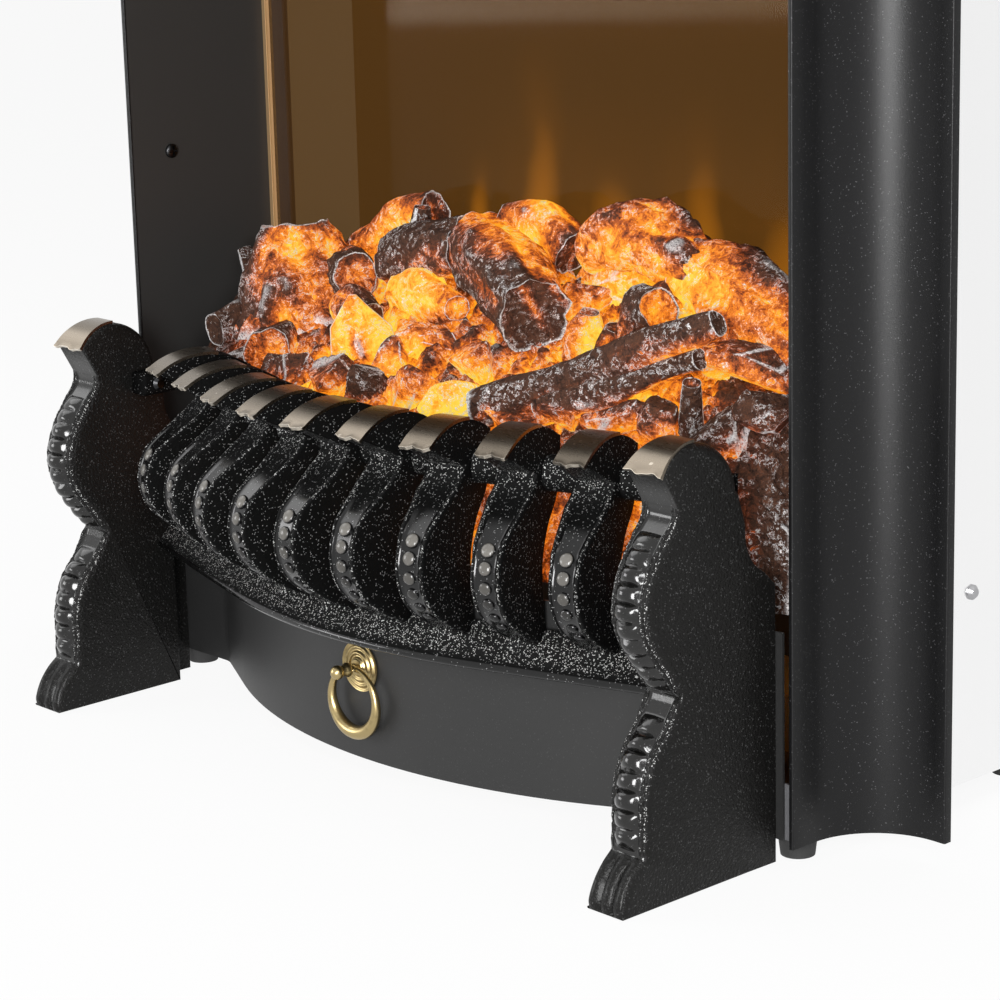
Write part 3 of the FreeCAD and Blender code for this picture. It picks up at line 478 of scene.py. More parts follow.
@dataclass(frozen=True)
class BrightTip(Finish):
    """Warm plated cap with a lighter lip.

    Attributes:
        lip: colour of the lighter lip.
        streak: fineness of the streaks along each axis.
        dust: fineness of the dust specks.
        relief: strength of the streaks.
        depth: height of the streaks in metres.
    """

    lip: Colour = (0.5, 0.45, 0.38)
    streak: Point = (120.0, 900.0, 900.0)
    dust: float = 900.0
    relief: float = 0.02
    depth: float = 0.0002

    def dress(self, shade: Shade) -> None:
        """Even plating, faint streaks, dust specks and a lighter lip.

        Args:
            shade: takes the nodes.
        """
        # the stored ridge marks the lip, which is coloured lighter
        bare = shade.kept("ridge").step(0.3, 0.8)
        streak = shade.noise(1.0, 3.0, 0.6, shade.stretched(self.streak))
        dust = (shade.cells(self.dust) > 0.996) * 0.5
        shade.set(Base_Color=shade.mix(bare.top(dust), self.colour, self.lip), Metallic=1.0,
                  Roughness=streak * 0.08 + self.roughness,
                  Normal=shade.bump(streak, self.relief, self.depth))


@dataclass(frozen=True)
class PlatedMetal(Finish):
    """Bare or plated metal with faint wear.

    Attributes:
        tarnish: colour of the stains.
        wear: how strong they are.
        stain: fineness of the stains.
        grain: fineness of the grain.
        relief: strength of the grain.
        depth: height of the grain in metres.
    """

    tarnish: Colour = (0.1, 0.09, 0.08)
    wear: float = 0.25
    stain: float = 150.0
    grain: float = 700.0
    relief: float = 0.12
    depth: float = 0.0002

    def dress(self, shade: Shade) -> None:
        """Soft stains and a fine grain.

        Args:
            shade: takes the nodes.
        """
        stain = shade.noise(self.stain, 4.0, 0.65).step(0.45, 0.8)
        grain = shade.fine(self.grain)
        shade.set(Base_Color=shade.mix(stain * self.wear, self.colour, self.tarnish), Metallic=1.0,
                  Roughness=stain * 0.15 + grain * 0.06 + self.roughness,
                  Normal=shade.bump(grain, self.relief, self.depth))


@dataclass(frozen=True)
class Moulded(Finish):
    """Plastic, rubber or board with a fine moulded skin.

    Attributes:
        skin: fineness of the skin.
        cloud: fineness of the slight change of tone.
        relief: strength of the skin.
        depth: height of the skin in metres.
    """

    skin: float = 1400.0
    cloud: float = 40.0
    relief: float = 0.2
    depth: float = 0.0003

    def dress(self, shade: Shade) -> None:
        """Fine texture and slight tone changes.

        Args:
            shade: takes the nodes.
        """
        skin = shade.fine(self.skin)
        cloud = shade.noise(self.cloud)
        shade.set(Base_Color=self.varied(shade, cloud, 0.15),
                  Roughness=skin * 0.1 + (self.roughness - 0.05),
                  Normal=shade.bump(skin, self.relief, self.depth))


@dataclass(frozen=True)
class FireLog(Finish):
    """Moulded resin logs: charred and ash-brushed outside, lit orange through thin places.

    Attributes:
        ash: colour of the ash.
        through: share of light that comes through the ash.
        grain: fineness of the bark.
        crack: fineness of the cracks.
        speck: fineness of the specks.
        soot: darkest char.
        brown: lightest char.
        glow: colours from cold to hottest.
        sheen: level of the plain reflection.
        relief: strength of the bark.
        depth: height of the bark in metres.
    """

    ash: Colour = (0.72, 0.7, 0.7)
    through: float = 0.2
    grain: float = 330.0
    crack: float = 90.0
    speck: float = 1300.0
    soot: Colour = (0.012, 0.006, 0.005)
    brown: Colour = (0.13, 0.055, 0.028)
    glow: Stops = ((0.0, BLACK), (0.2, (0.06, 0.008, 0.0005)), (0.4, (0.42, 0.07, 0.003)),
                   (0.6, (0.9, 0.22, 0.006)), (0.8, (1.0, 0.4, 0.012)), (1.0, (1.0, 0.68, 0.06)))
    sheen: float = 0.12
    relief: float = 0.9
    depth: float = 0.003

    def dress(self, shade: Shade) -> None:
        """Char, ash on the ridges, and a glow that follows the stored light.

        Args:
            shade: takes the nodes.
        """
        ridge = shade.kept("ridge")
        bark = shade.noise(self.grain, 4.0, 0.65, shade.bent(150.0, 0.008), 0.5)
        crack = shade.noise(self.crack, 4.0, 0.62, twist=0.9)
        speck = shade.noise(self.speck, 3.0, 0.7)
        heat = shade.kept("light") + (bark - 0.5) + (crack - 0.5) * 1.05 + (speck - 0.5) * 0.45 + 0.05
        char = shade.ramp(bark * 0.6 + speck * 0.4, (0.34, self.soot), (0.5, self.colour), (0.7, self.brown))
        thread = abs(bark - 0.55).step(0.034, 0.012) * crack.step(0.45, 0.57) * speck.step(0.36, 0.5)
        flake = (bark + speck * 0.6 + ridge * 0.25).step(1.07, 1.15)
        rim = ridge.step(0.72, 0.95) * speck.step(0.32, 0.52)
        ash = thread.top(flake).top(rim)
        glow = shade.ramp(heat.step(0.08, 1.32), *self.glow)
        shade.set(Base_Color=shade.mix(ash * 0.9, char, self.ash),
                  Roughness=speck * 0.25 + (self.roughness - 0.2), Specular_IOR_Level=self.sheen,
                  Emission_Color=shade.mix(ash * 0.85, glow, self.lit_ash()), Emission_Strength=1.0,
                  Normal=shade.bump(bark + speck * 0.35 + thread * 0.2, self.relief, self.depth))

    def lit_ash(self) -> Colour:
        """Light that comes through the ash."""
        return tuple(part * self.through for part in self.ash)


@dataclass(frozen=True)
class BronzeGlass(Finish):
    """Bronze half-mirror glass with a ground edge, given a painted bronze glow.

    Attributes:
        cover: share of what lies behind that it covers.
        cloud: fineness of its slight unevenness.
        ground: colour of the ground edge.
        edge_light: painted glow of the ground edge.
        sheen: level of the plain reflection.
        tint: tint of that reflection.
    """

    cover: float = 0.45
    cloud: float = 5.0
    ground: Colour = (0.75, 0.5, 0.28)
    edge_light: Colour = (0.3, 0.17, 0.07)
    sheen: float = 0.12
    tint: Colour = (1.0, 0.7, 0.4)

    def dress(self, shade: Shade) -> None:
        """Tinted, half-clear sheet with a painted glow; the stored ridge marks the ground edge.

        Args:
            shade: takes the nodes.
        """
        cloud = shade.fine(self.cloud)
        edge = shade.kept("ridge").step(0.4, 0.6)
        # painted light: the sheet glows in its bronze colour, the ground edge in a warmer glow
        shade.set(Base_Color=shade.mix(edge, self.shaded(0.25), self.ground),
                  Emission_Color=shade.mix(edge, self.colour, self.edge_light), Emission_Strength=1.0,
                  Roughness=cloud * 0.02 + edge * 0.3 + self.roughness, Specular_IOR_Level=self.sheen,
                  Specular_Tint=self.tint, Alpha=edge * (1.0 - self.cover) + self.cover)


@dataclass(frozen=True)
class FlameScreen(Finish):
    """Translucent screen that carries the moving flames.

    Attributes:
        low: height in metres of the flames' foot.
        high: height in metres where their haze ends.
        fade: places in metres between which the haze grows from the left.
        tongues: middle, half width and height of each flame's tip in metres.
        sway: fineness of the flames' bends along each axis.
        swing: how far they bend, in metres.
        haze: fineness of the haze along each axis.
        hot: colours of the flames above the screen's own.
    """

    low: float = 0.205
    high: float = 0.3
    fade: Tuple[float, float] = (-0.17, -0.05)
    tongues: Tuple[Point, ...] = ((-0.114, 0.015, 0.265), (-0.07, 0.028, 0.32), (-0.02, 0.032, 0.275),
                                  (0.035, 0.026, 0.3), (0.1, 0.05, 0.265))
    sway: Point = (9.0, 8.0, 14.0)
    swing: float = 0.04
    haze: Point = (24.0, 8.0, 6.0)
    hot: Stops = ((0.3, (0.2, 0.075, 0.008)), (0.65, (0.7, 0.23, 0.01)), (1.0, (1.0, 0.45, 0.03)))

    def dress(self, shade: Shade) -> None:
        """Brown glow with orange tongues that fade upwards.

        Args:
            shade: takes the nodes.
        """
        x = shade.axis("X")
        z = shade.axis("Z")
        sway = (shade.noise(1.0, 2.0, 0.5, shade.stretched(self.sway)) - 0.5) * self.swing
        haze = shade.noise(1.0, 2.0, 0.5, shade.stretched(self.haze), 0.6)
        flame = z.step(self.high, self.low) * haze * x.step(*self.fade) * 0.7
        for middle, width, tip in self.tongues:
            flame = flame.top(abs(x + sway - middle).step(width, 0.0) * z.step(tip, self.low) * 0.8)
        shade.set(Base_Color=self.shaded(0.3), Roughness=self.roughness, Specular_IOR_Level=0.0,
                  Emission_Color=shade.ramp(flame, (0.0, self.colour), *self.hot), Emission_Strength=1.0)


BLACK_SHEET = SatinSheet("black_sheet", (0.004, 0.004, 0.0043), 0.35, sheen=0.24)
COVER_SHEET = SatinSheet("cover_sheet", (0.018, 0.018, 0.018), 0.46, fleck=0.04, sheen=0.3)
REVEAL_SHEET = LinedSheet("reveal_sheet", (0.024, 0.023, 0.022), 0.42)
GREY_SHEET = SatinSheet("grey_sheet", (0.1, 0.1, 0.105), 0.5, sparkle=0.999)
FRET_IRON = CastIron("fret_iron", (0.002, 0.002, 0.002), 0.17)
LEG_IRON = CastIron("leg_iron", (0.0045, 0.0043, 0.004), 0.14, depth=0.001, dull=0.3, specular=0.13,
                    gloss=0.7, fleck=0.06)
BRIGHT_TIP = BrightTip("bright_tip", (0.19, 0.16, 0.125), 0.24)
ANTIQUE_BRASS = PlatedMetal("antique_brass", (0.4, 0.31, 0.15), 0.26, tarnish=(0.07, 0.05, 0.025), wear=0.7)
SCREW_STEEL = PlatedMetal("screw_steel", (0.42, 0.42, 0.43), 0.3)
BLACK_SCREW = PlatedMetal("black_screw", (0.04, 0.04, 0.042), 0.26, tarnish=(0.02, 0.02, 0.02))
MOTOR_CAN = PlatedMetal("motor_can", (0.5, 0.5, 0.5), 0.34)
FOIL = PlatedMetal("foil", (0.8, 0.8, 0.82), 0.12, wear=0.05)
FAN_BLADES = PlatedMetal("fan_blades", (0.55, 0.56, 0.58), 0.36)
FOOT_RUBBER = Moulded("foot_rubber", (0.02, 0.02, 0.02), 0.8)
GLAND_PLASTIC = Moulded("gland_plastic", (0.025, 0.025, 0.025), 0.5)
SWITCH_BLACK = Moulded("switch_black", (0.018, 0.018, 0.018), 0.45)
ROCKER_BLACK = Moulded("rocker_black", (0.022, 0.022, 0.022), 0.22, relief=0.05)
CIRCUIT_BOARD = Moulded("circuit_board", (0.8, 0.8, 0.77), 0.5)
DRIVER_CASE = Moulded("driver_case", (0.55, 0.55, 0.55), 0.5)
ELEMENT = Moulded("element", (0.66, 0.6, 0.5), 0.6)
LOG_BED = FireLog("log_bed", (0.07, 0.032, 0.02), 0.8)
# the glass's colour is its painted bronze glow
BRONZE_GLASS = BronzeGlass("bronze_glass", (0.05, 0.021, 0.0045), 0.04)
FLAME_DIFFUSER = FlameScreen("flame_diffuser", (0.095, 0.044, 0.009), 0.6)

FINISHES = (BLACK_SHEET, GREY_SHEET, FRET_IRON, BRIGHT_TIP, ANTIQUE_BRASS, SCREW_STEEL, FOOT_RUBBER,
            GLAND_PLASTIC, LOG_BED, BRONZE_GLASS, FLAME_DIFFUSER, FOIL, MOTOR_CAN, CIRCUIT_BOARD, DRIVER_CASE,
            FAN_BLADES, ELEMENT, SWITCH_BLACK, ROCKER_BLACK)


HASH = np.array([73856093, 19349663, 83492791])
HASH_MASK = 0x7FFFFFFF
HASH_SPREAD = 1103515245
HASH_SHIFT = 12345
HASH_LEVELS = 65536
SEED_GAP = 17.31
LAYER_GAP = 5.7
CURVE_STEPS = 24
CORNER_STEPS = 5
POLE_GAP = 0.12
CAP_LAP = 0.12


def rough(points: Array, scale: float, seed: int, octaves: int = 3) -> Array:
    """Smooth seeded noise between about -1 and 1.

    Args:
        points: places in millimetres; the last axis is X, Y and Z.
        scale: size of the largest lumps in millimetres.
        seed: chooses the pattern.
        octaves: how many finer layers are added.

    Returns:
        One value for each point.
    """
    flat = np.asarray(points, float).reshape(-1, 3)
    total = np.zeros(len(flat))
    for octave in range(octaves):
        cell = flat / scale * 2 ** octave + seed * SEED_GAP + octave * LAYER_GAP
        base = np.floor(cell).astype(np.int64)
        part = cell - base
        part = part * part * (3 - 2 * part)
        for corner in range(8):
            step = np.array([corner & 1, corner >> 1 & 1, corner >> 2 & 1])
            share = np.prod(np.where(step == 1, part, 1 - part), axis=1)
            at = (base + step) * HASH
            mixed = (at[:, 0] ^ at[:, 1] ^ at[:, 2]) & HASH_MASK
            level = (mixed * HASH_SPREAD + HASH_SHIFT >> 8) % HASH_LEVELS
            total += 0.5 ** octave * share * (level / (HASH_LEVELS / 2) - 1)
    return total.reshape(np.shape(points)[:-1])


def curve(points: Sequence[Tuple[float, float]], count: int) -> Array:
    """Smooth line through a few points of a plane.

    Args:
        points: places that the line goes through.
        count: how many places to return.

    Returns:
        Evenly spread places on the line, one per row.
    """
    knots = np.array(points, float)
    ends = np.vstack([2 * knots[0] - knots[1], knots, 2 * knots[-1] - knots[-2]])
    t = np.linspace(0, 1, CURVE_STEPS, endpoint=False)[:, None]
    runs = []
    for k in range(len(knots) - 1):
        a, b, c, d = ends[k:k + 4]
        bend = (2 * a - 5 * b + 4 * c - d) * t ** 2 + (3 * b - a - 3 * c + d) * t ** 3
        runs.append(0.5 * (2 * b + (c - a) * t + bend))
    dense = np.vstack(runs + [knots[-1:]])
    length = np.concatenate([[0], np.cumsum(np.linalg.norm(np.diff(dense, axis=0), axis=1))])
    want = np.linspace(0, length[-1], count)
    return np.stack([np.interp(want, length, dense[:, k]) for k in range(2)], axis=1)


def arc(centre: Tuple[float, float], radius: float, start: float, stop: float, count: int) -> Array:
    """Places on a circle between two angles in degrees."""
    turn = np.radians(np.linspace(start, stop, count))
    return np.array(centre) + radius * np.stack([np.cos(turn), np.sin(turn)], axis=1)


def outward(outline: Array) -> Array:
    """Find the normals of a closed outline.

    Args:
        outline: its places in a plane, one per row.

    Returns:
        A direction out of the outline for each place.
    """
    after, before = np.roll(outline, -1, 0), np.roll(outline, 1, 0)
    along = after - before
    along /= np.linalg.norm(along, axis=1)[:, None]
    area = np.sum(outline[:, 0] * after[:, 1] - after[:, 0] * outline[:, 1])
    return np.stack([along[:, 1], -along[:, 0]], axis=1) * np.sign(area)


def hump(value: Array, middle: float, width: float) -> Array:
    """Rounded bump of height one."""
    return np.exp(-((value - middle) / width) ** 2)


class Datum:
    """Where the front edge of the side panels lies in the frame, in millimetres."""

    front: ClassVar[float] = 0.0

    @classmethod
    def read(cls) -> None:
        """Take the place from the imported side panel."""
        cls.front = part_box("side_panel_left")[0].y / MM


class Form:
    """Points and faces in millimetres, gathered until they become one mesh."""

    def __init__(self) -> None:
        """Start empty."""
        self.points: List[Array] = []
        self.faces: List[Sequence[int]] = []
        self.light: List[Array] = []
        self.ridge: List[Array] = []
        self.count = 0

    def sheet(self, rows: Array, closed: bool = False, light: Any = 0.0, ridge: Any = 0.0) -> None:
        """Add a grid of quads.

        Args:
            rows: places, as rows of points.
            closed: whether each row is a ring.
            light: glow stored on the points.
            ridge: how far each point stands proud, stored on the points.
        """
        n, m = rows.shape[:2]
        for i in range(n - 1):
            for j in range(m if closed else m - 1):
                k = (j + 1) % m
                corners = (i * m + j, i * m + k, (i + 1) * m + k, (i + 1) * m + j)
                self.faces.append([self.count + corner for corner in corners])
        self.points.append(rows.reshape(-1, 3))
        self.light.append(np.broadcast_to(light, (n, m)).ravel())
        self.ridge.append(np.broadcast_to(ridge, (n, m)).ravel())
        self.count += n * m

    def loft(self, rings: Array, light: Any = 0.0, ridge: Any = 0.0) -> None:
        """Add a closed skin over rings of points, with flat ends.

        Args:
            rings: places, as rings of points.
            light: glow stored on the points.
            ridge: how far each point stands proud, stored on the points.
        """
        n, m = rings.shape[:2]
        start = self.count
        self.sheet(rings, True, light, ridge)
        self.faces.append([start + j for j in range(m)])
        self.faces.append([start + (n - 1) * m + j for j in range(m)])

    def wrap(self, outline: Array, place: Placing, wide: Array, soft: Array, relief: Array, grain: Array,
             shift: Any = 0.0, flare: Any = 0.0) -> None:
        """Skin a closed outline across a width, with rounded edges and relief.

        Args:
            outline: the side outline.
            place: turns outline places and a width into points.
            wide: the widths to place it at.
            soft: rounding at each outline place.
            relief: height above the outline, by outline place and width.
            grain: stored ridge, by outline place and width.
            shift: further shift in the outline's plane.
            flare: further width, by outline place and width.
        """
        spread = np.broadcast_to(wide + flare, relief.shape)
        edge = np.minimum(wide - wide[0], wide[-1] - wide)[None]
        bend = soft[:, None]
        drop = np.where(edge < bend, bend - np.sqrt(np.maximum(0, bend ** 2 - (bend - edge) ** 2)), 0.0)
        flat = outline[:, None] + outward(outline)[:, None] * (relief - drop)[..., None] + shift
        self.loft(np.stack([place(flat[:, k], spread[:, k]) for k in range(len(wide))]), 0.0, grain.T)

    def lug(self, low: Point, high: Point, soft: float = 1.5, ridge: float = 0.12) -> None:
        """Add a block along X with rounded corners and edges.

        Args:
            low: its lowest corner.
            high: its highest corner.
            soft: radius of the rounding.
            ridge: stored on its points.
        """
        rings = []
        for x, inset in ((low[0], soft), (low[0] + soft, 0.0), (high[0] - soft, 0.0), (high[0], soft)):
            near, far = inset + soft, -inset - soft
            corners = ((high[1] + far, high[2] + far), (low[1] + near, high[2] + far),
                       (low[1] + near, low[2] + near), (high[1] + far, low[2] + near))
            flat = np.vstack([arc(corner, soft, 90 * k, 90 * k + 90, CORNER_STEPS)
                              for k, corner in enumerate(corners)])
            rings.append(np.column_stack([np.full(len(flat), x), flat]))
        self.loft(np.stack(rings), 0.0, ridge)

    def ball(self, centre: Array, axes: Array, steps: int = 10, crown: float = 0.0) -> None:
        """Add a rounded bead.

        Args:
            centre: its middle.
            axes: its three half axes, one per row.
            steps: how fine it is.
            crown: strength of a painted highlight, stored as light on its crown.
        """
        tilt = np.linspace(-np.pi / 2 + POLE_GAP, np.pi / 2 - POLE_GAP, steps)
        turn = np.linspace(0, 2 * np.pi, 2 * steps, endpoint=False)
        a = np.cos(tilt)[:, None] * np.cos(turn)[None]
        b = np.cos(tilt)[:, None] * np.sin(turn)[None]
        c = np.repeat(np.sin(tilt)[:, None], 2 * steps, axis=1)
        # the painted highlight goes into the stored light
        light = crown * np.clip((c - 0.4) * 6, 0, 1)
        self.loft(np.asarray(centre) + np.stack([a, b, c], axis=2) @ np.asarray(axes), light)

    def lathe(self, outline: Sequence[Tuple[float, float]], start: Array, axis: Array, across: Array,
              sides: int = 32) -> None:
        """Turn an outline about an axis.

        Args:
            outline: radius and distance along the axis of each place.
            start: where the distance is nought.
            axis: direction of the axis.
            across: any direction square to it.
            sides: how many sides the turned form has.
        """
        turn = np.linspace(0, 2 * np.pi, sides, endpoint=False)
        other = np.cross(axis, across)
        rim = across[None] * np.cos(turn)[:, None] + other[None] * np.sin(turn)[:, None]
        self.loft(np.stack([start + axis * along + rim * radius for radius, along in outline]))

    def piece(self, name: str, finish: Finish, body: Body, slot: str, replaced: Sequence[str] = (),
              sharp: float = 40.0) -> None:
        """Make the object, dress it and let it ride on its body.

        Args:
            name: the piece's name.
            finish: its finish.
            body: the body it rides on.
            slot: the record's material slot; not used.
            replaced: nodes of the frame that it stands for.
            sharp: edges over this angle in degrees stay crisp.
        """
        points = np.vstack(self.points) + np.array([0.0, Datum.front, 0.0])
        mesh = bpy.data.meshes.new(name)
        mesh.from_pydata((points * MM).tolist(), [], self.faces)
        for key, parts in (("light", self.light), ("ridge", self.ridge)):
            layer = mesh.attributes.new(key, "FLOAT", "POINT")
            layer.data.foreach_set("value", np.concatenate(parts).astype(np.float32))
        work = bmesh.new()
        work.from_mesh(mesh)
        bmesh.ops.recalc_face_normals(work, faces=work.faces)
        work.to_mesh(mesh)
        work.free()
        mesh.shade_smooth()
        mesh.set_sharp_from_angle(angle=math.radians(sharp))
        mesh.materials.append(finish.material())
        made = bpy.data.objects.new(name, mesh)
        bpy.context.scene.collection.objects.link(made)
        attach(made, body.value)
        if replaced:
            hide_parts(*replaced)
        LOG.info("%s: %d points", name, len(points))


@dataclass
class Surround:
    """Coved mouldings round the opening.

    Attributes:
        half: half the width over all.
        top: height over all.
        bottom: height of the uprights' foot.
        opening: half the opening's width.
        sheet: thickness of the sheet.
        cove: radius of the cove.
        wall: depth of the flat before the cove.
        lip: depth of the flat outer lip.
        back: depth of the return behind the lip.
        soft: rounding of the folds.
        cove_steps: how fine the cove is.
        sharp: edges over this angle stay crisp.
    """

    half: float = 254.0
    top: float = 615.0
    bottom: float = 10.0
    opening: float = 212.0
    sheet: float = 1.2
    cove: float = 34.0
    wall: float = 12.0
    lip: float = 46.0
    back: float = 50.0
    soft: float = 0.7
    cove_steps: int = 28
    sharp: float = 35.0

    def section(self) -> Array:
        """Draw the moulding's section with softened corners.

        Returns:
            Distance out from the opening's edge and depth, one place per row.
        """
        hem, skin, soft = 2 * self.sheet, self.sheet, self.soft
        wide = self.half - self.opening
        middle = (hem + self.cove, self.wall)
        return np.vstack([
            [(0.0, 0.0)],
            arc((soft, soft - skin), soft, 180, 270, CORNER_STEPS),
            arc((hem - soft, soft - skin), soft, 270, 360, CORNER_STEPS),
            [(hem, self.wall * 0.5)],
            arc(middle, self.cove, 180, 90, self.cove_steps),
            arc((wide - soft, self.lip + soft), soft, 270, 360, CORNER_STEPS),
            [(wide, self.back), (wide - skin, self.back)],
            [(wide - skin, self.lip + skin), (middle[0], self.lip + skin)],
            arc(middle, self.cove + skin, 90, 180, self.cove_steps),
            [(hem - skin, 0.0)]])

    def build(self) -> None:
        """Make the two uprights and the mitred top."""
        out, deep = self.section().T
        head = self.top - (self.half - self.opening)
        mitres = []
        for side, name in ((1, "right"), (-1, "left")):
            form = Form()
            x = side * (self.opening + out)
            mitres.append(np.stack([x, deep, head + out], axis=1))
            form.loft(np.stack([np.stack([x, deep, np.full_like(out, self.bottom)], axis=1), mitres[-1]]))
            self._finish(form, name)
        form = Form()
        form.loft(np.stack(mitres))
        self._finish(form, "top")

    def _finish(self, form: Form, name: str) -> None:
        """Make one moulding's piece."""
        form.piece("moulding_" + name, BLACK_SHEET, Body.CASE, "black_sheet", ["trim_" + name], self.sharp)


@dataclass
class RevealScrews:
    """Pan-head screws with crossed slots, on the side panels.

    Attributes:
        plane: half the distance between the panels.
        depth: the screws' depth.
        low: height of the lower pair.
        high: height of the upper pair.
        radius: radius of a head.
        height: height of a head.
        slot: half the slot's width.
        sunk: depth of the slot.
        dome: how strongly the head is domed.
        shank: length of the shank in the panel.
        rings: how fine the dome is.
        sides: how fine the rim is.
    """

    plane: float = 212.0
    depth: float = 22.6
    low: float = 256.0
    high: float = 480.0
    radius: float = 3.4
    height: float = 2.3
    slot: float = 0.5
    sunk: float = 1.1
    dome: float = 0.86
    shank: float = 1.2
    rings: int = 14
    sides: int = 48

    def build(self) -> None:
        """Make the four screws as one piece."""
        form = Form()
        for side in (1, -1):
            for z in (self.low, self.high):
                self._screw(form, np.array([side * self.plane, self.depth, z]), np.array([-side, 0.0, 0.0]))
        form.piece("reveal_screw_heads", BLACK_SCREW, Body.CASE, "screw_steel", ["reveal_screws"], sharp=50)

    def _screw(self, form: Form, seat: Array, out: Array) -> None:
        """Add one screw: a domed head with a crossed slot, and its shank in the panel.

        Args:
            form: takes the points.
            seat: where the head's middle rests.
            out: direction in which the head stands out.
        """
        turn = np.linspace(0, 2 * np.pi, self.sides, endpoint=False)
        share = np.concatenate([np.linspace(0.04, 0.72, self.rings), [0.84, 0.93, 1.0, 1.0, 0.5, 0.5]])
        rise = self.height * np.sqrt(1 - (share * self.dome) ** 2)
        rise[-3:] = (0.0, 0.0, -self.shank)
        a = self.radius * share[:, None] * np.cos(turn)[None]
        b = self.radius * share[:, None] * np.sin(turn)[None]
        inner = np.arange(len(share)) < self.rings - 1
        slot = ((np.abs(a) < self.slot) | (np.abs(b) < self.slot)) & inner[:, None]
        lift = rise[:, None] - np.where(slot, self.sunk, 0.0)
        form.loft(seat + np.stack([np.zeros_like(a), a, b], axis=2) + out * lift[..., None])


@dataclass
class Bow:
    """Plan of the fret: an arc with straight ends.

    Attributes:
        radius: radius of the arc at the tips.
        front: depth of the foremost tip.
        sweep: angle of the arc to each side.
    """

    radius: float = 286.0
    front: float = -78.5
    sweep: float = 17.2

    def y(self, back: Any, x: Any) -> Array:
        """Find the depth of the curve.

        Args:
            back: how far it is set back from the tips.
            x: places along the width.

        Returns:
            The depth at each place.
        """
        radius = self.radius - np.asarray(back, float)
        turn = math.radians(self.sweep)
        edge = radius * math.sin(turn)
        inside = np.minimum(np.abs(x), edge)
        straight = np.maximum(0.0, np.abs(x) - edge) * math.tan(turn)
        return self.front + self.radius - np.sqrt(radius ** 2 - inside ** 2) + straight

    def turn(self, x: float) -> float:
        """Angle in radians that a bar at x is turned by."""
        edge = self.radius * math.sin(math.radians(self.sweep))
        return math.asin(max(-edge, min(edge, x)) / self.radius)


@dataclass
class Cap:
    """Bright skin over a head, with a ragged, slightly rolled lip.

    Attributes:
        centre: middle of the head in the plane of its outline.
        radius: radius of the cap's outside.
        tip: angle at the lip.
        end: angle at the other end.
        half: half its width.
        skin: its thickness.
        narrow: how much narrower each half is at its end.
        rolled: share of its length that is rolled.
        roll: height of the roll.
        columns: how fine it is across.
        first_seed: start of the seeds of its lips.
    """

    centre: Tuple[float, float]
    radius: float
    tip: float
    end: float
    half: float
    skin: float = 1.4
    narrow: float = 0.0
    rolled: float = 0.06
    roll: float = 0.3
    columns: int = 17
    first_seed: int = 40

    def add(self, form: Form, place: Placing, seed: int) -> None:
        """Add one cap.

        Args:
            form: takes the points.
            place: turns (forward, height) and a width into a point.
            seed: chooses the lip's raggedness.
        """
        spread = np.linspace(-1, 1, self.columns)
        draw = np.random.default_rng(self.first_seed + seed)
        waves = 0.6 * np.sin(spread * 5.0 + draw.uniform(0, 6))
        waves = waves + 0.25 * np.sin(spread * 11 + draw.uniform(0, 6))
        toward = 1 if self.end > self.tip else -1
        lip = self.tip - toward * np.degrees((0.9 + waves) / self.radius)
        share = np.concatenate([[0, 0.015, 0.035, self.rolled], np.linspace(0.1, 1, 18)])
        rows, bare = [], []
        for sunk, steps in ((0.0, share), (self.skin, share[::-1])):
            for t in steps:
                angle = np.radians(lip + (self.end - lip) * t)
                roll = self.roll * max(0.0, 1 - t / self.rolled) if sunk == 0.0 else 0.0
                reach = self.radius + roll - sunk
                flat = np.array(self.centre) + reach * np.stack([np.cos(angle), np.sin(angle)], axis=1)
                rows.append(place(flat, spread * (self.half - self.narrow * t)))
                # the lip's edge row is stored for the lighter colour
                bare.append(np.full(self.columns, 1.0 if t == 0 else 0.0))
        form.loft(np.swapaxes(np.stack(rows), 0, 1), 0.0, np.stack(bare).T)


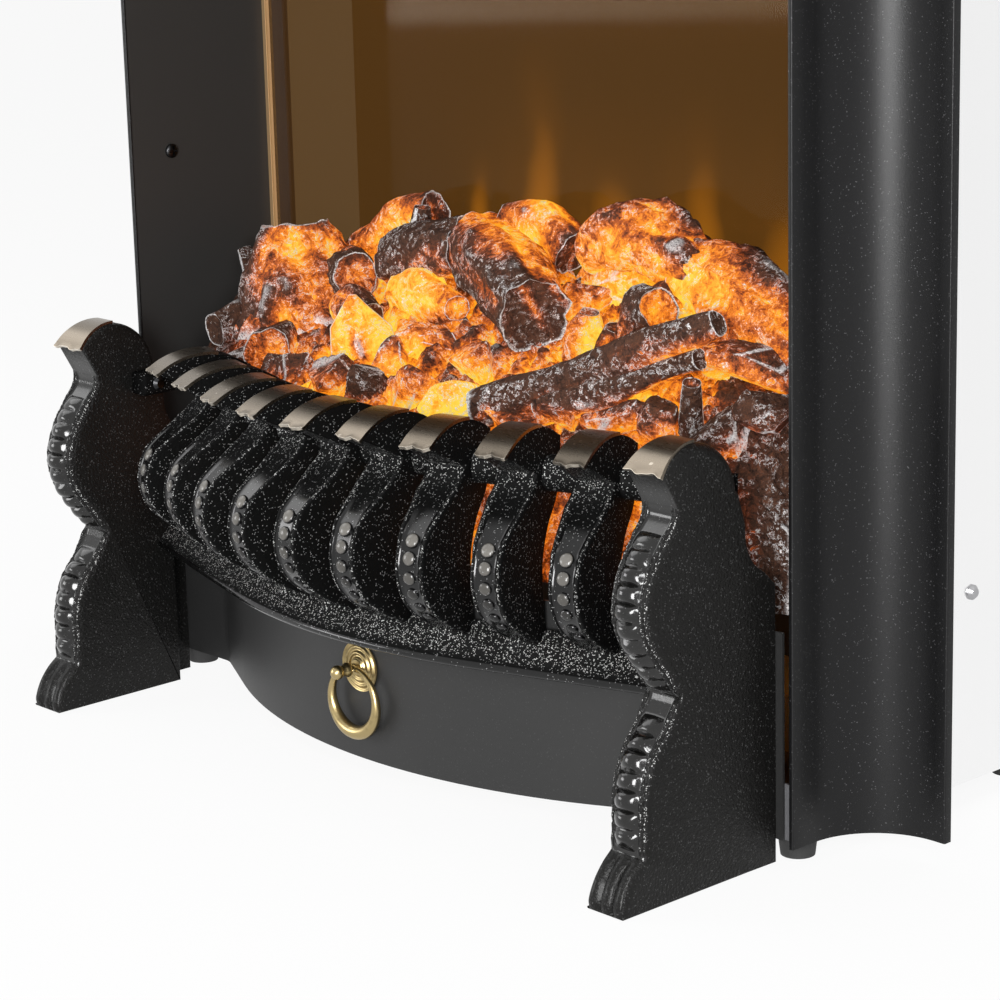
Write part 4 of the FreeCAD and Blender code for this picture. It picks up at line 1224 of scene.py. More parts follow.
@dataclass
class FretComb:
    """Nine S-shaped bars with bright caps, a bottom rail and an upper web.

    Attributes:
        count: number of bars.
        pitch: distance between bars.
        width: width of a bar.
        tip: height of the tips.
        head: radius of the heads.
        tip_angle: angle at which a head's cap begins.
        cap_angle: angle at which the cap ends.
        head_angle: angle at which the head ends.
        skin: how far the head lies under its cap.
        inner: half the distance between the legs.
        beads: pearls on a bar.
        bead: radius of the first pearl.
        bead_taper: how much smaller each next pearl is.
        bead_sunk: how far the pearls are sunk.
        bead_first: place of the first pearl on the front line.
        bead_pitch: distance between pearls on the front line.
        front_steps: places on the front line.
        columns: places across a bar.
        gusset: how far the neck flares to one side.
        rail_rear: how far the rail's rear is set back.
        rail_span: heights of the rail.
        web_rear: how far the web's rear is set back.
        web_top: height of the web.
        rail_columns: places along the rail.
        lug_width: width of an upper lug.
        lug_front: depth of the upper lugs' front.
        lug_rear: depth of the lower lugs' rear.
        upper_lug: heights of the upper lugs.
        lower_lug: heights of the lower lugs.
    """

    count: int = 9
    pitch: float = 180.0 / 5.2
    width: float = 14.4
    tip: float = 167.3
    head: float = 39.3
    tip_angle: float = 53.4
    cap_angle: float = 100.0
    head_angle: float = 126.0
    skin: float = 1.2
    inner: float = 180.0
    beads: int = 6
    bead: float = 3.3
    bead_taper: float = 0.16
    bead_sunk: float = 0.45
    bead_first: float = 46.0
    bead_pitch: float = 9.5
    front_steps: int = 120
    columns: int = 29
    gusset: float = 6.0
    rail_rear: float = 30.5
    rail_span: Tuple[float, float] = (69.4, 86.5)
    web_rear: float = 39.0
    web_top: float = 160.0
    rail_columns: int = 361
    lug_width: float = 11.0
    lug_front: float = -32.0
    lug_rear: float = 4.2
    upper_lug: Tuple[float, float] = (148.0, 159.0)
    lower_lug: Tuple[float, float] = (70.4, 85.5)

    def __post_init__(self) -> None:
        """Find the head's centre in the bar's own plane, and the bars' places."""
        turn = math.radians(self.tip_angle)
        self.bow = Bow()
        self.centre = (-self.head * math.cos(turn), self.tip - self.head * math.sin(turn))
        self.places = [(k - (self.count - 1) / 2) * self.pitch for k in range(self.count)]

    def front_line(self) -> Array:
        """Front of a bar from the undercut to the rail, as (forward, height)."""
        return curve([(-25.9, 153.7), (-21.2, 147.3), (-13.9, 141.7), (-2.0, 133.8), (4.4, 127.8), (7.7, 117),
                      (5.6, 106.2), (-0.5, 97.3), (-10.4, 89.6), (-24.6, 81.5)], self.front_steps)

    def outline(self) -> Array:
        """Draw a bar from the side.

        Returns:
            Its closed outline, as (forward, height).
        """
        rear = curve([(-30.5, 81.5), (-29, 100), (-29, 115.8), (-34, 130), (-41.5, 140.4), (-45, 152),
                      (-46.4, 166.5)], 30)
        top = arc(self.centre, self.head - self.skin, self.head_angle - 1.5, self.tip_angle + 0.5, 30)
        return np.vstack([self.front_line(), rear, top])

    def spot(self, x: float) -> Placing:
        """Turn and place one bar.

        Args:
            x: the bar's place along the width.

        Returns:
            A function that turns (forward, height) and a width into points.
        """
        turn = self.bow.turn(x)
        y = float(self.bow.y(0, x))

        def place(flat: Array, across: Any) -> Array:
            """Put the bar's own places into the fret.

            Args:
                flat: places as (forward, height).
                across: their width.

            Returns:
                The points, one per row.
            """
            wide = np.broadcast_to(np.asarray(across, float), (len(flat),))
            return np.stack([x + wide * math.cos(turn) + flat[:, 0] * math.sin(turn),
                             y + wide * math.sin(turn) - flat[:, 0] * math.cos(turn), flat[:, 1]], axis=1)

        return place

    def build(self) -> None:
        """Make bars, rails, beads and caps."""
        bars, beads, caps = Form(), Form(), Form()
        outline, front = self.outline(), self.front_line()
        half = self.width / 2
        step = np.linspace(0, 1, self.columns)
        wide = self.width * (step - 0.1 * np.sin(2 * np.pi * step) - 0.5)
        cap = Cap(self.centre, self.head, self.tip_angle, self.cap_angle, half + CAP_LAP)
        soft, relief, grain = self._skin(outline, len(front), half - np.abs(wide))
        neck = np.zeros(len(outline))
        down = np.linspace(0, 1, len(front))
        neck[:len(front)] = np.interp(down, [0, 0.12, 0.3, 0.42], [0.8, 1.0, 0.4, 0.0])
        flare = -self.gusset * np.outer(neck, np.clip(-wide / half, 0, 1) ** 1.5)
        for k, x in enumerate(self.places):
            place = self.spot(x)
            bars.wrap(outline, place, wide, soft, relief, grain, flare=flare)
            self._pearls(beads, place, front)
            cap.add(caps, place, k)
        self._rails(bars)
        bars.piece("fret_bars", FRET_IRON, Body.FRONT, "fret_iron", ["fret_comb"], sharp=55)
        beads.piece("fret_beading", FRET_IRON, Body.FRONT, "fret_iron")
        caps.piece("fret_caps", BRIGHT_TIP, Body.FRONT, "bright_tip", ["bar_caps"], sharp=60)

    def _skin(self, outline: Array, front: int, edge: Array) -> Tuple[Array, Array, Array]:
        """Shape a bar's skin: a raised gritty line inside each edge of its front.

        Args:
            outline: the bar's side outline.
            front: how many of its places lie on the front.
            edge: distance of each width from the nearer edge.

        Returns:
            Rounding by outline place, and relief and grain by outline place and width.
        """
        share = np.full(len(outline), -1.0)
        share[:front] = np.linspace(0, 1, front)
        fade = np.interp(share, [0.0, 0.08, 0.8, 0.97], [0.0, 1.0, 1.0, 0.0])[:, None]
        place = np.stack(np.broadcast_arrays(share[:, None] * 110, edge[None], 0.0), axis=2)
        line = hump(edge, 1.2, 0.55)[None] * fade
        channel = np.clip((edge - 1.8) / 1.2, 0, 1)[None] * fade
        relief = line * (0.45 + 0.25 * rough(place, 1.3, 3, 1)) - 0.6 * channel
        low = np.interp(share, [-0.5, 0.0, 0.12, 0.3], [0.13, 0.6, 0.2, 0.02])[:, None]
        grain = np.maximum(line * 0.9, np.where(edge < 0.6, 0.13, low))
        return np.where(share < 0, 0.9, 1.6), relief, grain

    def _pearls(self, form: Form, place: Placing, front: Array) -> None:
        """Add a row of pearls down the belly.

        Args:
            form: takes the points.
            place: the bar's placing.
            front: the bar's front line.
        """
        slope = np.gradient(front, axis=0)
        slope /= np.linalg.norm(slope, axis=1)[:, None]
        out = np.stack([-slope[:, 1], slope[:, 0]], axis=1)
        origin = place(np.zeros((1, 2)), 0.0)[0]
        side = place(np.zeros((1, 2)), 1.0)[0] - origin
        for k in range(self.beads):
            step = int(self.bead_first + k * self.bead_pitch)
            size = self.bead - self.bead_taper * k
            centre = place(front[step][None] - out[step] * self.bead_sunk, 0.0)[0]
            along, up = (place(way[None], 0.0)[0] - origin for way in (slope[step], out[step]))
            axes = np.stack([side * size, along * size, up * size * 0.5])
            # painted highlight on each pearl's crown, fainter down the row
            form.ball(centre, axes, steps=14, crown=max(0.0, 1 - 0.3 * k))

    def _rails(self, form: Form) -> None:
        """Add the bowed bottom rail, with mounds beside the bars, and the lumpy web under the heads.

        Each row of a section is how far it is set back, its height, its share of the swelling and its grit.

        Args:
            form: takes the points.
        """
        x = np.linspace(-self.inner, self.inner, self.rail_columns)
        low, high = self.rail_span
        mound = sum(hump(x, place - 10.0, 4.2) for place in self.places)
        lump = sum(hump(x, place - 9.0, 6.0) for place in self.places)
        slant = [(29.0 - 1.55 * k, 86.0 - 1.45 * k, max(0.0, math.cos(k * 0.33)), 0.65) for k in range(1, 8)]
        bead = [(back, z, 0.0, 0.0) for back, z in arc((16.8, 71.5), 2.2, 150, 300, 9)]
        rail = [(29.0, high, 0.7, 0.65)] + slant + bead
        rail += [(19.5, low, 0.0, 0.2), (self.rail_rear, low, 0.0, 0.2), (self.rail_rear, high, 0.0, 0.2)]
        web = [(33.0, self.web_top, 0.0, 0.2), (31.5, 156.5, 0.6, 0.6), (31.0, 152.5, 1.0, 0.6),
               (31.5, 148.5, 1.0, 0.3), (34.0, 145.4, 0.6, 0.2), (37.0, 144.5, 0.0, 0.2),
               (self.web_rear, 146.0, 0.0, 0.2), (self.web_rear, self.web_top, 0.0, 0.2)]
        for section, swell, reach in ((rail, mound, 5.5), (web, lump, 8.5)):
            rows, grain = [], []
            for back, z, share, grit in section:
                row = np.stack([x, self.bow.y(back, x), np.full_like(x, z)], axis=1)
                push = reach * share * swell + 0.5 * grit * rough(row, 2.2, 5, 2)
                rows.append(row + push[:, None] * np.array([0.0, -0.95, 0.3]))
                grain.append(np.full_like(x, grit) + 0.45 * share * swell * (grit > 0.4))
            form.loft(np.stack(rows, axis=1), 0.0, np.stack(grain, axis=1))
        self._lugs(form)

    def _lugs(self, form: Form) -> None:
        """Add four lugs that meet the legs and carry their screws.

        Args:
            form: takes the points.
        """
        start = self.inner - self.lug_width
        far = self.inner
        upper = float(self.bow.y(self.web_rear, start))
        lower = float(self.bow.y(self.rail_rear, start)) - 4.0
        for near, y0, y1, (z0, z1) in ((start, self.lug_front, upper, self.upper_lug),
                                       (start + 2.0, lower, self.lug_rear, self.lower_lug)):
            form.lug((near, y0, z0), (far, y1, z1))
            form.lug((-far, y0, z0), (-near, y1, z1))


@dataclass
class FretLegs:
    """Two S-shaped legs with beaded bands, paws and bright caps.

    Attributes:
        inner: distance of the inner side from the fret's middle.
        outer: distance of the outer side.
        rear: depth of the rear.
        head: depth and height of the head's middle.
        radius: radius of the head's cap.
        tip_angle: angle at the cap's lip.
        cap_angle: angle at the cap's other end.
        cap_narrow: how much narrower each half of the cap is at that end.
        toe: how far the toes reach.
        wall: thickness of the outer wall beside the rebate.
        rebate: depth of the rebate behind.
        rebate_top: height of the rebate.
        skin: how far the head lies under its cap.
        line: distance of the first gritty line from the edge.
        second_line: distance of the second one.
        band: distance of the beaded band.
        belly_beads: beads on the belly.
        calf_beads: beads on the calf.
        first: where a band's beads begin, as a share of its run.
        last: where they end.
        swell: height of the beads.
        plain: stored ridge of the plain sides.
        smooth: stored ridge of the glossy band.
        columns: places across a leg.
    """

    inner: float = 180.0
    outer: float = 200.4
    rear: float = 4.5
    head: Tuple[float, float] = (-40.0, 159.0)
    radius: float = 25.0
    tip_angle: float = 142.5
    cap_angle: float = 84.0
    cap_narrow: float = 4.2
    toe: float = 84.5
    wall: float = 7.0
    rebate: float = 16.0
    rebate_top: float = 66.0
    skin: float = 1.2
    line: float = 1.1
    second_line: float = 2.7
    band: float = 3.8
    belly_beads: int = 10
    calf_beads: int = 7
    first: float = 0.14
    last: float = 0.97
    swell: float = 3.9
    plain: float = 0.12
    smooth: float = 0.02
    columns: int = 43

    def __post_init__(self) -> None:
        """Work out the runs of the outline, as (depth, height)."""
        rear, high = self.rear, self.rebate_top
        self.runs = {
            "belly": curve([(-51, 160), (-51.7, 154), (-61, 144), (-67.5, 132.5), (-70.5, 120), (-67, 106),
                            (-55.6, 90), (-49.5, 83)], 130),
            "calf": curve([(-49.5, 83), (-58.5, 71), (-67, 60.5), (-71.5, 46), (-72, 34),
                           (-72, 22)], 100)[1:],
            "paw": curve([(-72, 22), (-76.5, 18), (-81.5, 11.5), (-84.3, 4.5), (-84, 0.6)], 36)[1:],
            "sole": np.array([(0.5 - self.toe, 0.0), (rear - self.rebate - 0.4, 0.0)]),
            "notch": np.array([(rear, 0.0), (rear, high - 0.1)]),
            "back": np.array([(rear, high), (rear, 117.0)]),
            "shoulder": curve([(rear, 118), (-1.8, 124.2), (-7.6, 128.8), (-11.6, 137), (-12, 146),
                               (-15, 159)], 24),
            "head": arc(self.head, self.radius - self.skin, 2, self.tip_angle - 1, 40)}
        self.outline = np.vstack(list(self.runs.values()))
        self.share: Dict[str, Array] = {}
        start = 0
        for name, run in self.runs.items():
            self.share[name] = np.full(len(self.outline), -1.0)
            self.share[name][start:start + len(run)] = np.linspace(0, 1, len(run))
            start += len(run)

    def widths(self) -> Array:
        """Spread places across a leg, with a close pair at the rebate's wall.

        Returns:
            Distances from the fret's middle, in order.
        """
        step = np.linspace(0, 1, self.columns)
        even = self.inner + (self.outer - self.inner) * (step - 0.11 * np.sin(2 * np.pi * step))
        wall = self.outer - self.wall
        return np.sort(np.concatenate([even, [wall - 0.02, wall + 0.02]]))

    def rounding(self) -> Array:
        """Find the rounding of a leg's edges.

        Returns:
            A radius for each outline place.
        """
        soft = np.full(len(self.outline), 0.7)
        tables = {"belly": ([0, 0.08, 0.2, 0.86, 0.97, 1], [0.9, 2.2, 5.2, 5.2, 2.4, 1.6]),
                  "calf": ([0, 0.05, 0.2, 0.85, 1], [1.6, 2.4, 5.2, 5.2, 3.4]),
                  "paw": ([0, 0.6, 1], [3.4, 2.6, 1.2]),
                  "shoulder": ([0, 0.5, 1], [0.9, 1.6, 4.0]),
                  "head": ([0, 0.45, 0.8, 1], [4.5, 5.5, 2.5, 0.9])}
        for name, (at, size) in tables.items():
            on = self.share[name] >= 0
            soft[on] = np.interp(self.share[name][on], at, size)
        return soft

    def skin_relief(self, wide: Array) -> Tuple[Array, Array]:
        """Shape a leg's skin: gritty double lines, a sunk band of square beads, and toes.

        Args:
            wide: the places across the leg.

        Returns:
            Relief and grain, by outline place and width.
        """
        edge = np.minimum(wide - self.inner, self.outer - wide)[None]
        half = (self.outer - self.inner) / 2
        across = np.clip((half - edge) / (half - self.band), 0, 1.2)
        relief = np.zeros((len(self.outline), len(wide)))
        grain = np.full_like(relief, self.plain)
        first, last = self.first, self.last
        for name, beads in (("belly", self.belly_beads), ("calf", self.calf_beads)):
            share = self.share[name][:, None]
            fade = np.interp(share, [0.0, 0.05, 0.93, 0.99], [0, 1, 1, 0])
            place = np.stack(np.broadcast_arrays(share * 100, edge, 0.0), axis=2)
            lines = np.maximum(hump(edge, self.line, 0.45), 0.85 * hump(edge, self.second_line, 0.5)) * fade
            phase = np.clip((share - first) / (last - first), 0, 0.9999) * beads
            along = np.abs(2 * (phase - np.floor(phase)) - 1)
            pillow = np.clip(1 - along ** 2.4, 0, 1) ** 0.5 * np.clip(1 - across ** 2, 0, 1) ** 0.75
            pillow *= np.interp(share, [first - 0.001, first, first + 0.2, 0.9, last], [0, 0.35, 1, 1, 0.5])
            sunk = np.clip((edge - self.band + 0.5) / 0.8, 0, 1) * fade
            grit = 0.6 + 0.35 * rough(place, 1.5, 4, 1)
            relief += lines * grit - 0.7 * sunk + self.swell * pillow * (sunk > 0)
            smooth = np.where(edge < 0.6, self.plain, self.smooth)
            grain = np.where(share >= 0, np.maximum(smooth, 0.95 * lines), grain)
        paw = self.share["paw"][:, None]
        toes = np.sqrt(np.abs(np.sin(3 * np.pi * (wide - self.inner) / (2 * half))))[None] - 0.75
        relief += np.where(paw >= 0, np.interp(paw, [0, 0.3, 1], [0.4, 3.0, 2.2]) * toes, 0.0)
        return relief, np.where(paw >= 0, 0.1, grain)

    def build(self) -> None:
        """Make both legs and their caps."""
        caps = Form()
        wide = self.widths()
        middle, half = (self.inner + self.outer) / 2, (self.outer - self.inner) / 2
        relief, grain = self.skin_relief(wide)
        shift = np.zeros((*relief.shape, 2))
        shift[..., 0] = -self.rebate * np.outer(self.share["notch"] >= 0, wide < self.outer - self.wall)
        cap = Cap(self.head, self.radius, self.tip_angle, self.cap_angle, half + CAP_LAP,
                  narrow=self.cap_narrow)
        for side, name in ((-1, "left"), (1, "right")):
            def place(flat: Array, out: Any, sign: int = side) -> Array:
                """Put (depth, height) and a distance from the middle into the fret."""
                x = np.broadcast_to(sign * np.asarray(out, float), (len(flat),))
                return np.stack([x, *flat.T], axis=1)

            def centred(flat: Array, across: Any, at: Placing = place) -> Array:
                """The same, with widths counted from the leg's middle."""
                return at(flat, middle + across)

            form = Form()
            form.wrap(self.outline, place, wide, self.rounding(), relief, grain, shift)
            form.piece("leg_" + name, LEG_IRON, Body.FRONT, "fret_iron", ["fret_leg_" + name], sharp=55)
            cap.add(caps, centred, 20 + side)
        caps.piece("leg_bright_caps", BRIGHT_TIP, Body.FRONT, "bright_tip", ["leg_caps"], sharp=60)


@dataclass
class RingPull:
    """Antique ring pull on the ash cover: rosette, post and hanging ring.

    Attributes:
        seat: depth of the cover's face behind it.
        height: height of the post.
        eye: how far the ring hangs before the cover.
        ball: how far the ball's middle stands before the cover.
        ball_radius: radius of the ball.
        ring: outer width of the ring.
        thin: the ring's thickness at its top.
        thick: its thickness at the bottom.
        reach: radius of the rosette.
        hub: radius of the rosette's last step.
        bore: radius of the hole in the rosette.
    """

    seat: float = -45.4
    height: float = 53.0
    eye: float = 4.8
    ball: float = 13.6
    ball_radius: float = 3.2
    ring: float = 34.0
    thin: float = 2.6
    thick: float = 6.4
    reach: float = 11.5
    hub: float = 3.6
    bore: float = 2.1

    def build(self) -> None:
        """Make the three pieces."""
        self.start = np.array([0.0, self.seat, self.height])
        self.forward, self.across = np.array([0.0, -1.0, 0.0]), np.array([1.0, 0.0, 0.0])
        self._rosette()
        self._post()
        self._hoop()

    def _rosette(self) -> None:
        """Round plate with turned steps."""
        form = Form()
        steps = np.linspace(0, 1, 29)
        rise = 0.55 + 1.5 * steps + 0.42 * np.cos(steps * 6 * np.pi)
        edge = self.reach - (self.reach - self.hub) * steps
        rim = [(self.reach - 0.5, 0.02), (self.reach, 0.4)]
        plate = rim + list(zip(edge, rise)) + [(self.bore, 2.3), (self.bore, 0.02)]
        form.lathe(plate, self.start, self.forward, self.across, sides=48)
        form.piece("ring_rosette", ANTIQUE_BRASS, Body.FRONT, "antique_brass", ["pull_rosette"], sharp=50)

    def _post(self) -> None:
        """Collar, two cheeks round the ring, and a turned ball end."""
        form = Form()
        collar = [(2.0, -5.5), (2.0, 2.3), (3.8, 2.4), (3.4, 2.9)]
        form.lathe(collar, self.start, self.forward, self.across, sides=24)
        turn = np.linspace(0.75, 3.0, 16)
        knob = list(zip(self.ball_radius * np.sin(turn), self.ball - self.ball_radius * np.cos(turn)))
        neck = [(2.2, 6.7), (3.0, 7.2), (3.3, 8.2), (2.6, 9.6), (2.3, 10.6)]
        form.lathe(neck + knob, self.start, self.forward, self.across, sides=28)
        for side in (-1, 1):
            cheek = self.start + self.across * side * 2.8 + self.forward * self.eye
            form.ball(cheek, np.array([self.across * 0.9, self.forward * 2.9, [0.0, 0.0, 1.1]]))
        form.piece("ring_post", ANTIQUE_BRASS, Body.FRONT, "antique_brass", ["pull_post"], sharp=50)

    def _hoop(self) -> None:
        """Hanging ring, thin at the top and thick below."""
        form = Form()
        turn = np.linspace(0, 2 * np.pi, 73)
        wire = self.thin + (self.thick - self.thin) * ((1 - np.cos(turn)) / 2) ** 1.3
        middle = self.start + self.forward * self.eye + np.array([0.0, 0.0, (self.thin - self.ring) / 2])
        out = np.stack([np.sin(turn), np.zeros_like(turn), np.cos(turn)], axis=1)
        path = middle + out * ((self.ring - wire) / 2)[:, None]
        spin = np.linspace(0, 2 * np.pi, 16, endpoint=False)[None, :, None]
        section = out[:, None] * np.cos(spin) + self.forward * np.sin(spin)
        form.sheet(path[:, None] + section * (wire / 2)[:, None, None], True)
        form.piece("ring_hoop", ANTIQUE_BRASS, Body.RING, "antique_brass", ["pull_ring"], sharp=60)


@dataclass
class GlassSheet:
    """Half-mirror glass with ground front edges.

    Attributes:
        ground: width of the ground strip at each side.
        bevel: depth of its bevel.
        seam: width over which the strip begins.
    """

    ground: float = 2.2
    bevel: float = 1.4
    seam: float = 0.03

    def build(self) -> None:
        """Make the sheet from its plan outline."""
        form = Form()
        low, high = (np.array(corner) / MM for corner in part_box("flame_glass"))
        front, rear, half = low[1] - Datum.front, high[1] - Datum.front, high[0]
        flat = half - self.ground
        right = [(flat, rear, 0), (flat + self.seam, rear, 1), (half, rear, 1), (half, front + self.bevel, 1),
                 (flat + self.seam, front, 1), (flat, front, 0)]
        plan = right + [(-x, y, edge) for x, y, edge in right[::-1]]
        rows = np.array([[(x, y, z) for x, y, _ in plan] for z in (low[2], high[2])])
        form.loft(rows, 0.0, np.array([[edge for _, _, edge in plan]] * 2))
        form.piece("half_mirror", BRONZE_GLASS, Body.CASE, "bronze_glass", ["flame_glass"], sharp=20)


@dataclass(frozen=True)
class Log:
    """One moulded log, branch or splinter.

    Attributes:
        path: its middle line.
        radii: radius at each of those places.
        light: mean glow.
        lit: side from which it glows most.
        dish: how deep its ends are dished, in radii.
        end: glow of its ends.
        bark: depth of its bark in radii.
        flat: share of its depth across the guide.
        guide: direction of its width, where it isn't level.
        rim: whether ash marks its outline.
        grooves: ridges across its cut end.
    """

    path: Tuple[Point, ...]
    radii: Tuple[float, ...]
    light: float
    lit: Point = (0.3, 0.2, -0.6)
    dish: float = 0.25
    end: float = 0.5
    bark: float = 0.14
    flat: float = 1.0
    guide: Optional[Point] = None
    rim: bool = False
    grooves: int = 0


@dataclass(frozen=True)
class Coal:
    """One angular coal: its middle, half sizes, glow and turn about the vertical."""

    centre: Point
    size: Point
    light: float
    turn: float = 0.0


FRONT_LIT: Point = (0.0, -0.5, -0.3)
UNDER_LIT: Point = (0.1, 0.1, -0.9)

STUMP = (
    Log(((-134, 42, 172), (-140, 44, 200), (-143.5, 45, 224)), (37, 27, 15), 0.46, (0.7, -0.1, 0.1),
        0.8, 0.8),
    Log(((-160, 52, 178), (-165, 30, 176), (-168, 11, 174)), (14, 11, 8), 0.02, (0.6, 0.0, -0.4), 0.3, 0.1),
    Log(((-139, 42, 174), (-128, 20, 172), (-118, 2, 171)), (13, 12, 11), 0.3, (0.4, 0.0, -0.4), 0.3, 0.75),
    Log(((-178, 50, 182), (-185, 50, 198), (-193, 50, 206)), (10, 8, 4), -0.15, flat=0.5, rim=True),
    Log(((-167, 46, 186), (-172, 46, 199), (-176, 46, 206)), (8, 6, 4), 0.0, flat=0.6, rim=True))
BIG_LOGS = (
    Log(((-124, 58, 198), (-108, 48, 204), (-93, 38, 205)), (13, 13, 10.5), 0.55, bark=0.2, end=0.7),
    Log(((-68, 48, 196), (-44, 41, 200), (-18, 34, 199)), (12, 12, 6), 0.9, (0.0, -0.3, 0.4), bark=0.2,
        end=0.9),
    Log(((-84, 52, 211), (-58, 54, 219), (-30, 54, 224)), (11, 14, 15), 0.26, UNDER_LIT, 0.2, 0.2, 0.2),
    Log(((-70, 58, 224), (-67, 57, 232), (-66, 57, 238)), (5, 4.5, 3.5), -0.3, rim=True),
    Log(((-32, 58, 224), (6, 42, 217), (43, 25, 206)), (16, 18, 18), 0.6, (0.1, 0.5, 0.4), 0.1, 0.66, 0.14,
        grooves=5),
    Log(((38, 66, 224), (52, 64, 235), (72, 63, 238), (92, 62, 231), (112, 60, 224)),
        (8, 14, 16, 15, 13), 0.64, FRONT_LIT, bark=0.24),
    Log(((98, 62, 225), (128, 60, 221), (150, 57, 213), (166, 52, 206), (180, 46, 196)),
        (13, 17, 17, 13, 9), 0.62, FRONT_LIT, bark=0.24),
    Log(((-121, 68, 208), (-92, 69, 226), (-70, 69, 233)), (9, 10, 9), 0.68, FRONT_LIT, flat=1.3),
    Log(((-20, 68, 234), (6, 68, 234), (24, 67, 224)), (8, 10, 10), 0.68, FRONT_LIT, flat=1.2))
BRANCHES = (
    Log(((46, -12, 170), (102, 4, 193), (133, 8, 206), (159, 16, 217)), (9, 8, 7.5, 5), 0.36, UNDER_LIT,
        bark=0.2, end=0.0),
    Log(((75, -3, 173), (120, 8, 190), (151, 14, 201)), (8, 7.5, 5), 0.42, UNDER_LIT, bark=0.2, end=0.0),
    Log(((142, 18, 170), (147, 13, 184), (150, 10, 192)), (6, 5, 4), 0.1, rim=True))
SPLINTERS = (
    Log(((-55, 10, 174), (-56, 8, 190), (-58, 6, 205)), (16.5, 14, 1.5), 1.02, (0.0, -0.2, -0.2), 0.1, 0.8,
        bark=0.03, flat=0.4, guide=(0.68, 0.73, 0.0), rim=True),
    Log(((56, 40, 184), (60, 39, 198), (63, 38, 207)), (9, 8, 4), 0.85, bark=0.16),
    Log(((72, 40, 184), (75, 39, 194), (78, 38, 202)), (9, 7, 4), 0.85, bark=0.16),
    Log(((88, 40, 196), (99, 37, 210), (108, 35, 213)), (9, 11, 9), 0.22, (-0.3, -0.2, -0.5), 0.6, 0.9, 0.2),
    Log(((-92, 30, 190), (-80, 24, 194), (-66, 22, 190)), (9, 10, 8), 0.7, bark=0.16))
COALS = (
    Coal((-88, -6, 166), (17, 8, 9), 0.3, 0.3), Coal((-52, -12, 168), (18, 10, 9), 0.34, -0.4),
    Coal((-24, -14, 168), (11, 8, 10), 0.05, 0.5), Coal((2, -13, 170), (17, 10, 11), 0.5, -0.2),
    Coal((34, -16, 168), (13, 7, 9), 0.95, 0.4), Coal((62, -10, 168), (16, 8, 8), 0.35, -0.6),
    Coal((82, 3, 173), (17, 8, 9), 0.3, -0.8), Coal((112, 6, 173), (17, 8, 8), 0.3, 0.5),
    Coal((134, 10, 172), (12, 7, 9), 0.2, -0.4), Coal((160, 18, 168), (15, 8, 9), 0.0, 0.7),
    Coal((168, 36, 196), (19, 11, 10), 0.3, 0.5), Coal((178, 26, 181), (14, 9, 9), -0.1, -0.3),
    Coal((186, 44, 176), (12, 9, 12), -0.2, 0.2), Coal((-110, 6, 164), (14, 8, 8), 0.1, -0.3),
    Coal((-150, 8, 160), (14, 9, 8), -0.1, 0.3), Coal((120, 36, 200), (12, 9, 8), 0.6, 0.2),
    Coal((-20, 18, 186), (14, 9, 8), 0.55, 0.5), Coal((20, 10, 184), (13, 8, 7), 0.6, -0.5),
    Coal((-30, 2, 178), (12, 8, 8), 0.5, 0.1), Coal((140, 34, 198), (13, 9, 8), 0.4, -0.5),
    Coal((98, 58, 211), (18, 10, 9), 0.45, 0.1), Coal((40, 56, 206), (14, 9, 9), 0.5, 0.4),
    Coal((50, 66, 213), (21, 7, 12), 0.75, 0.1))


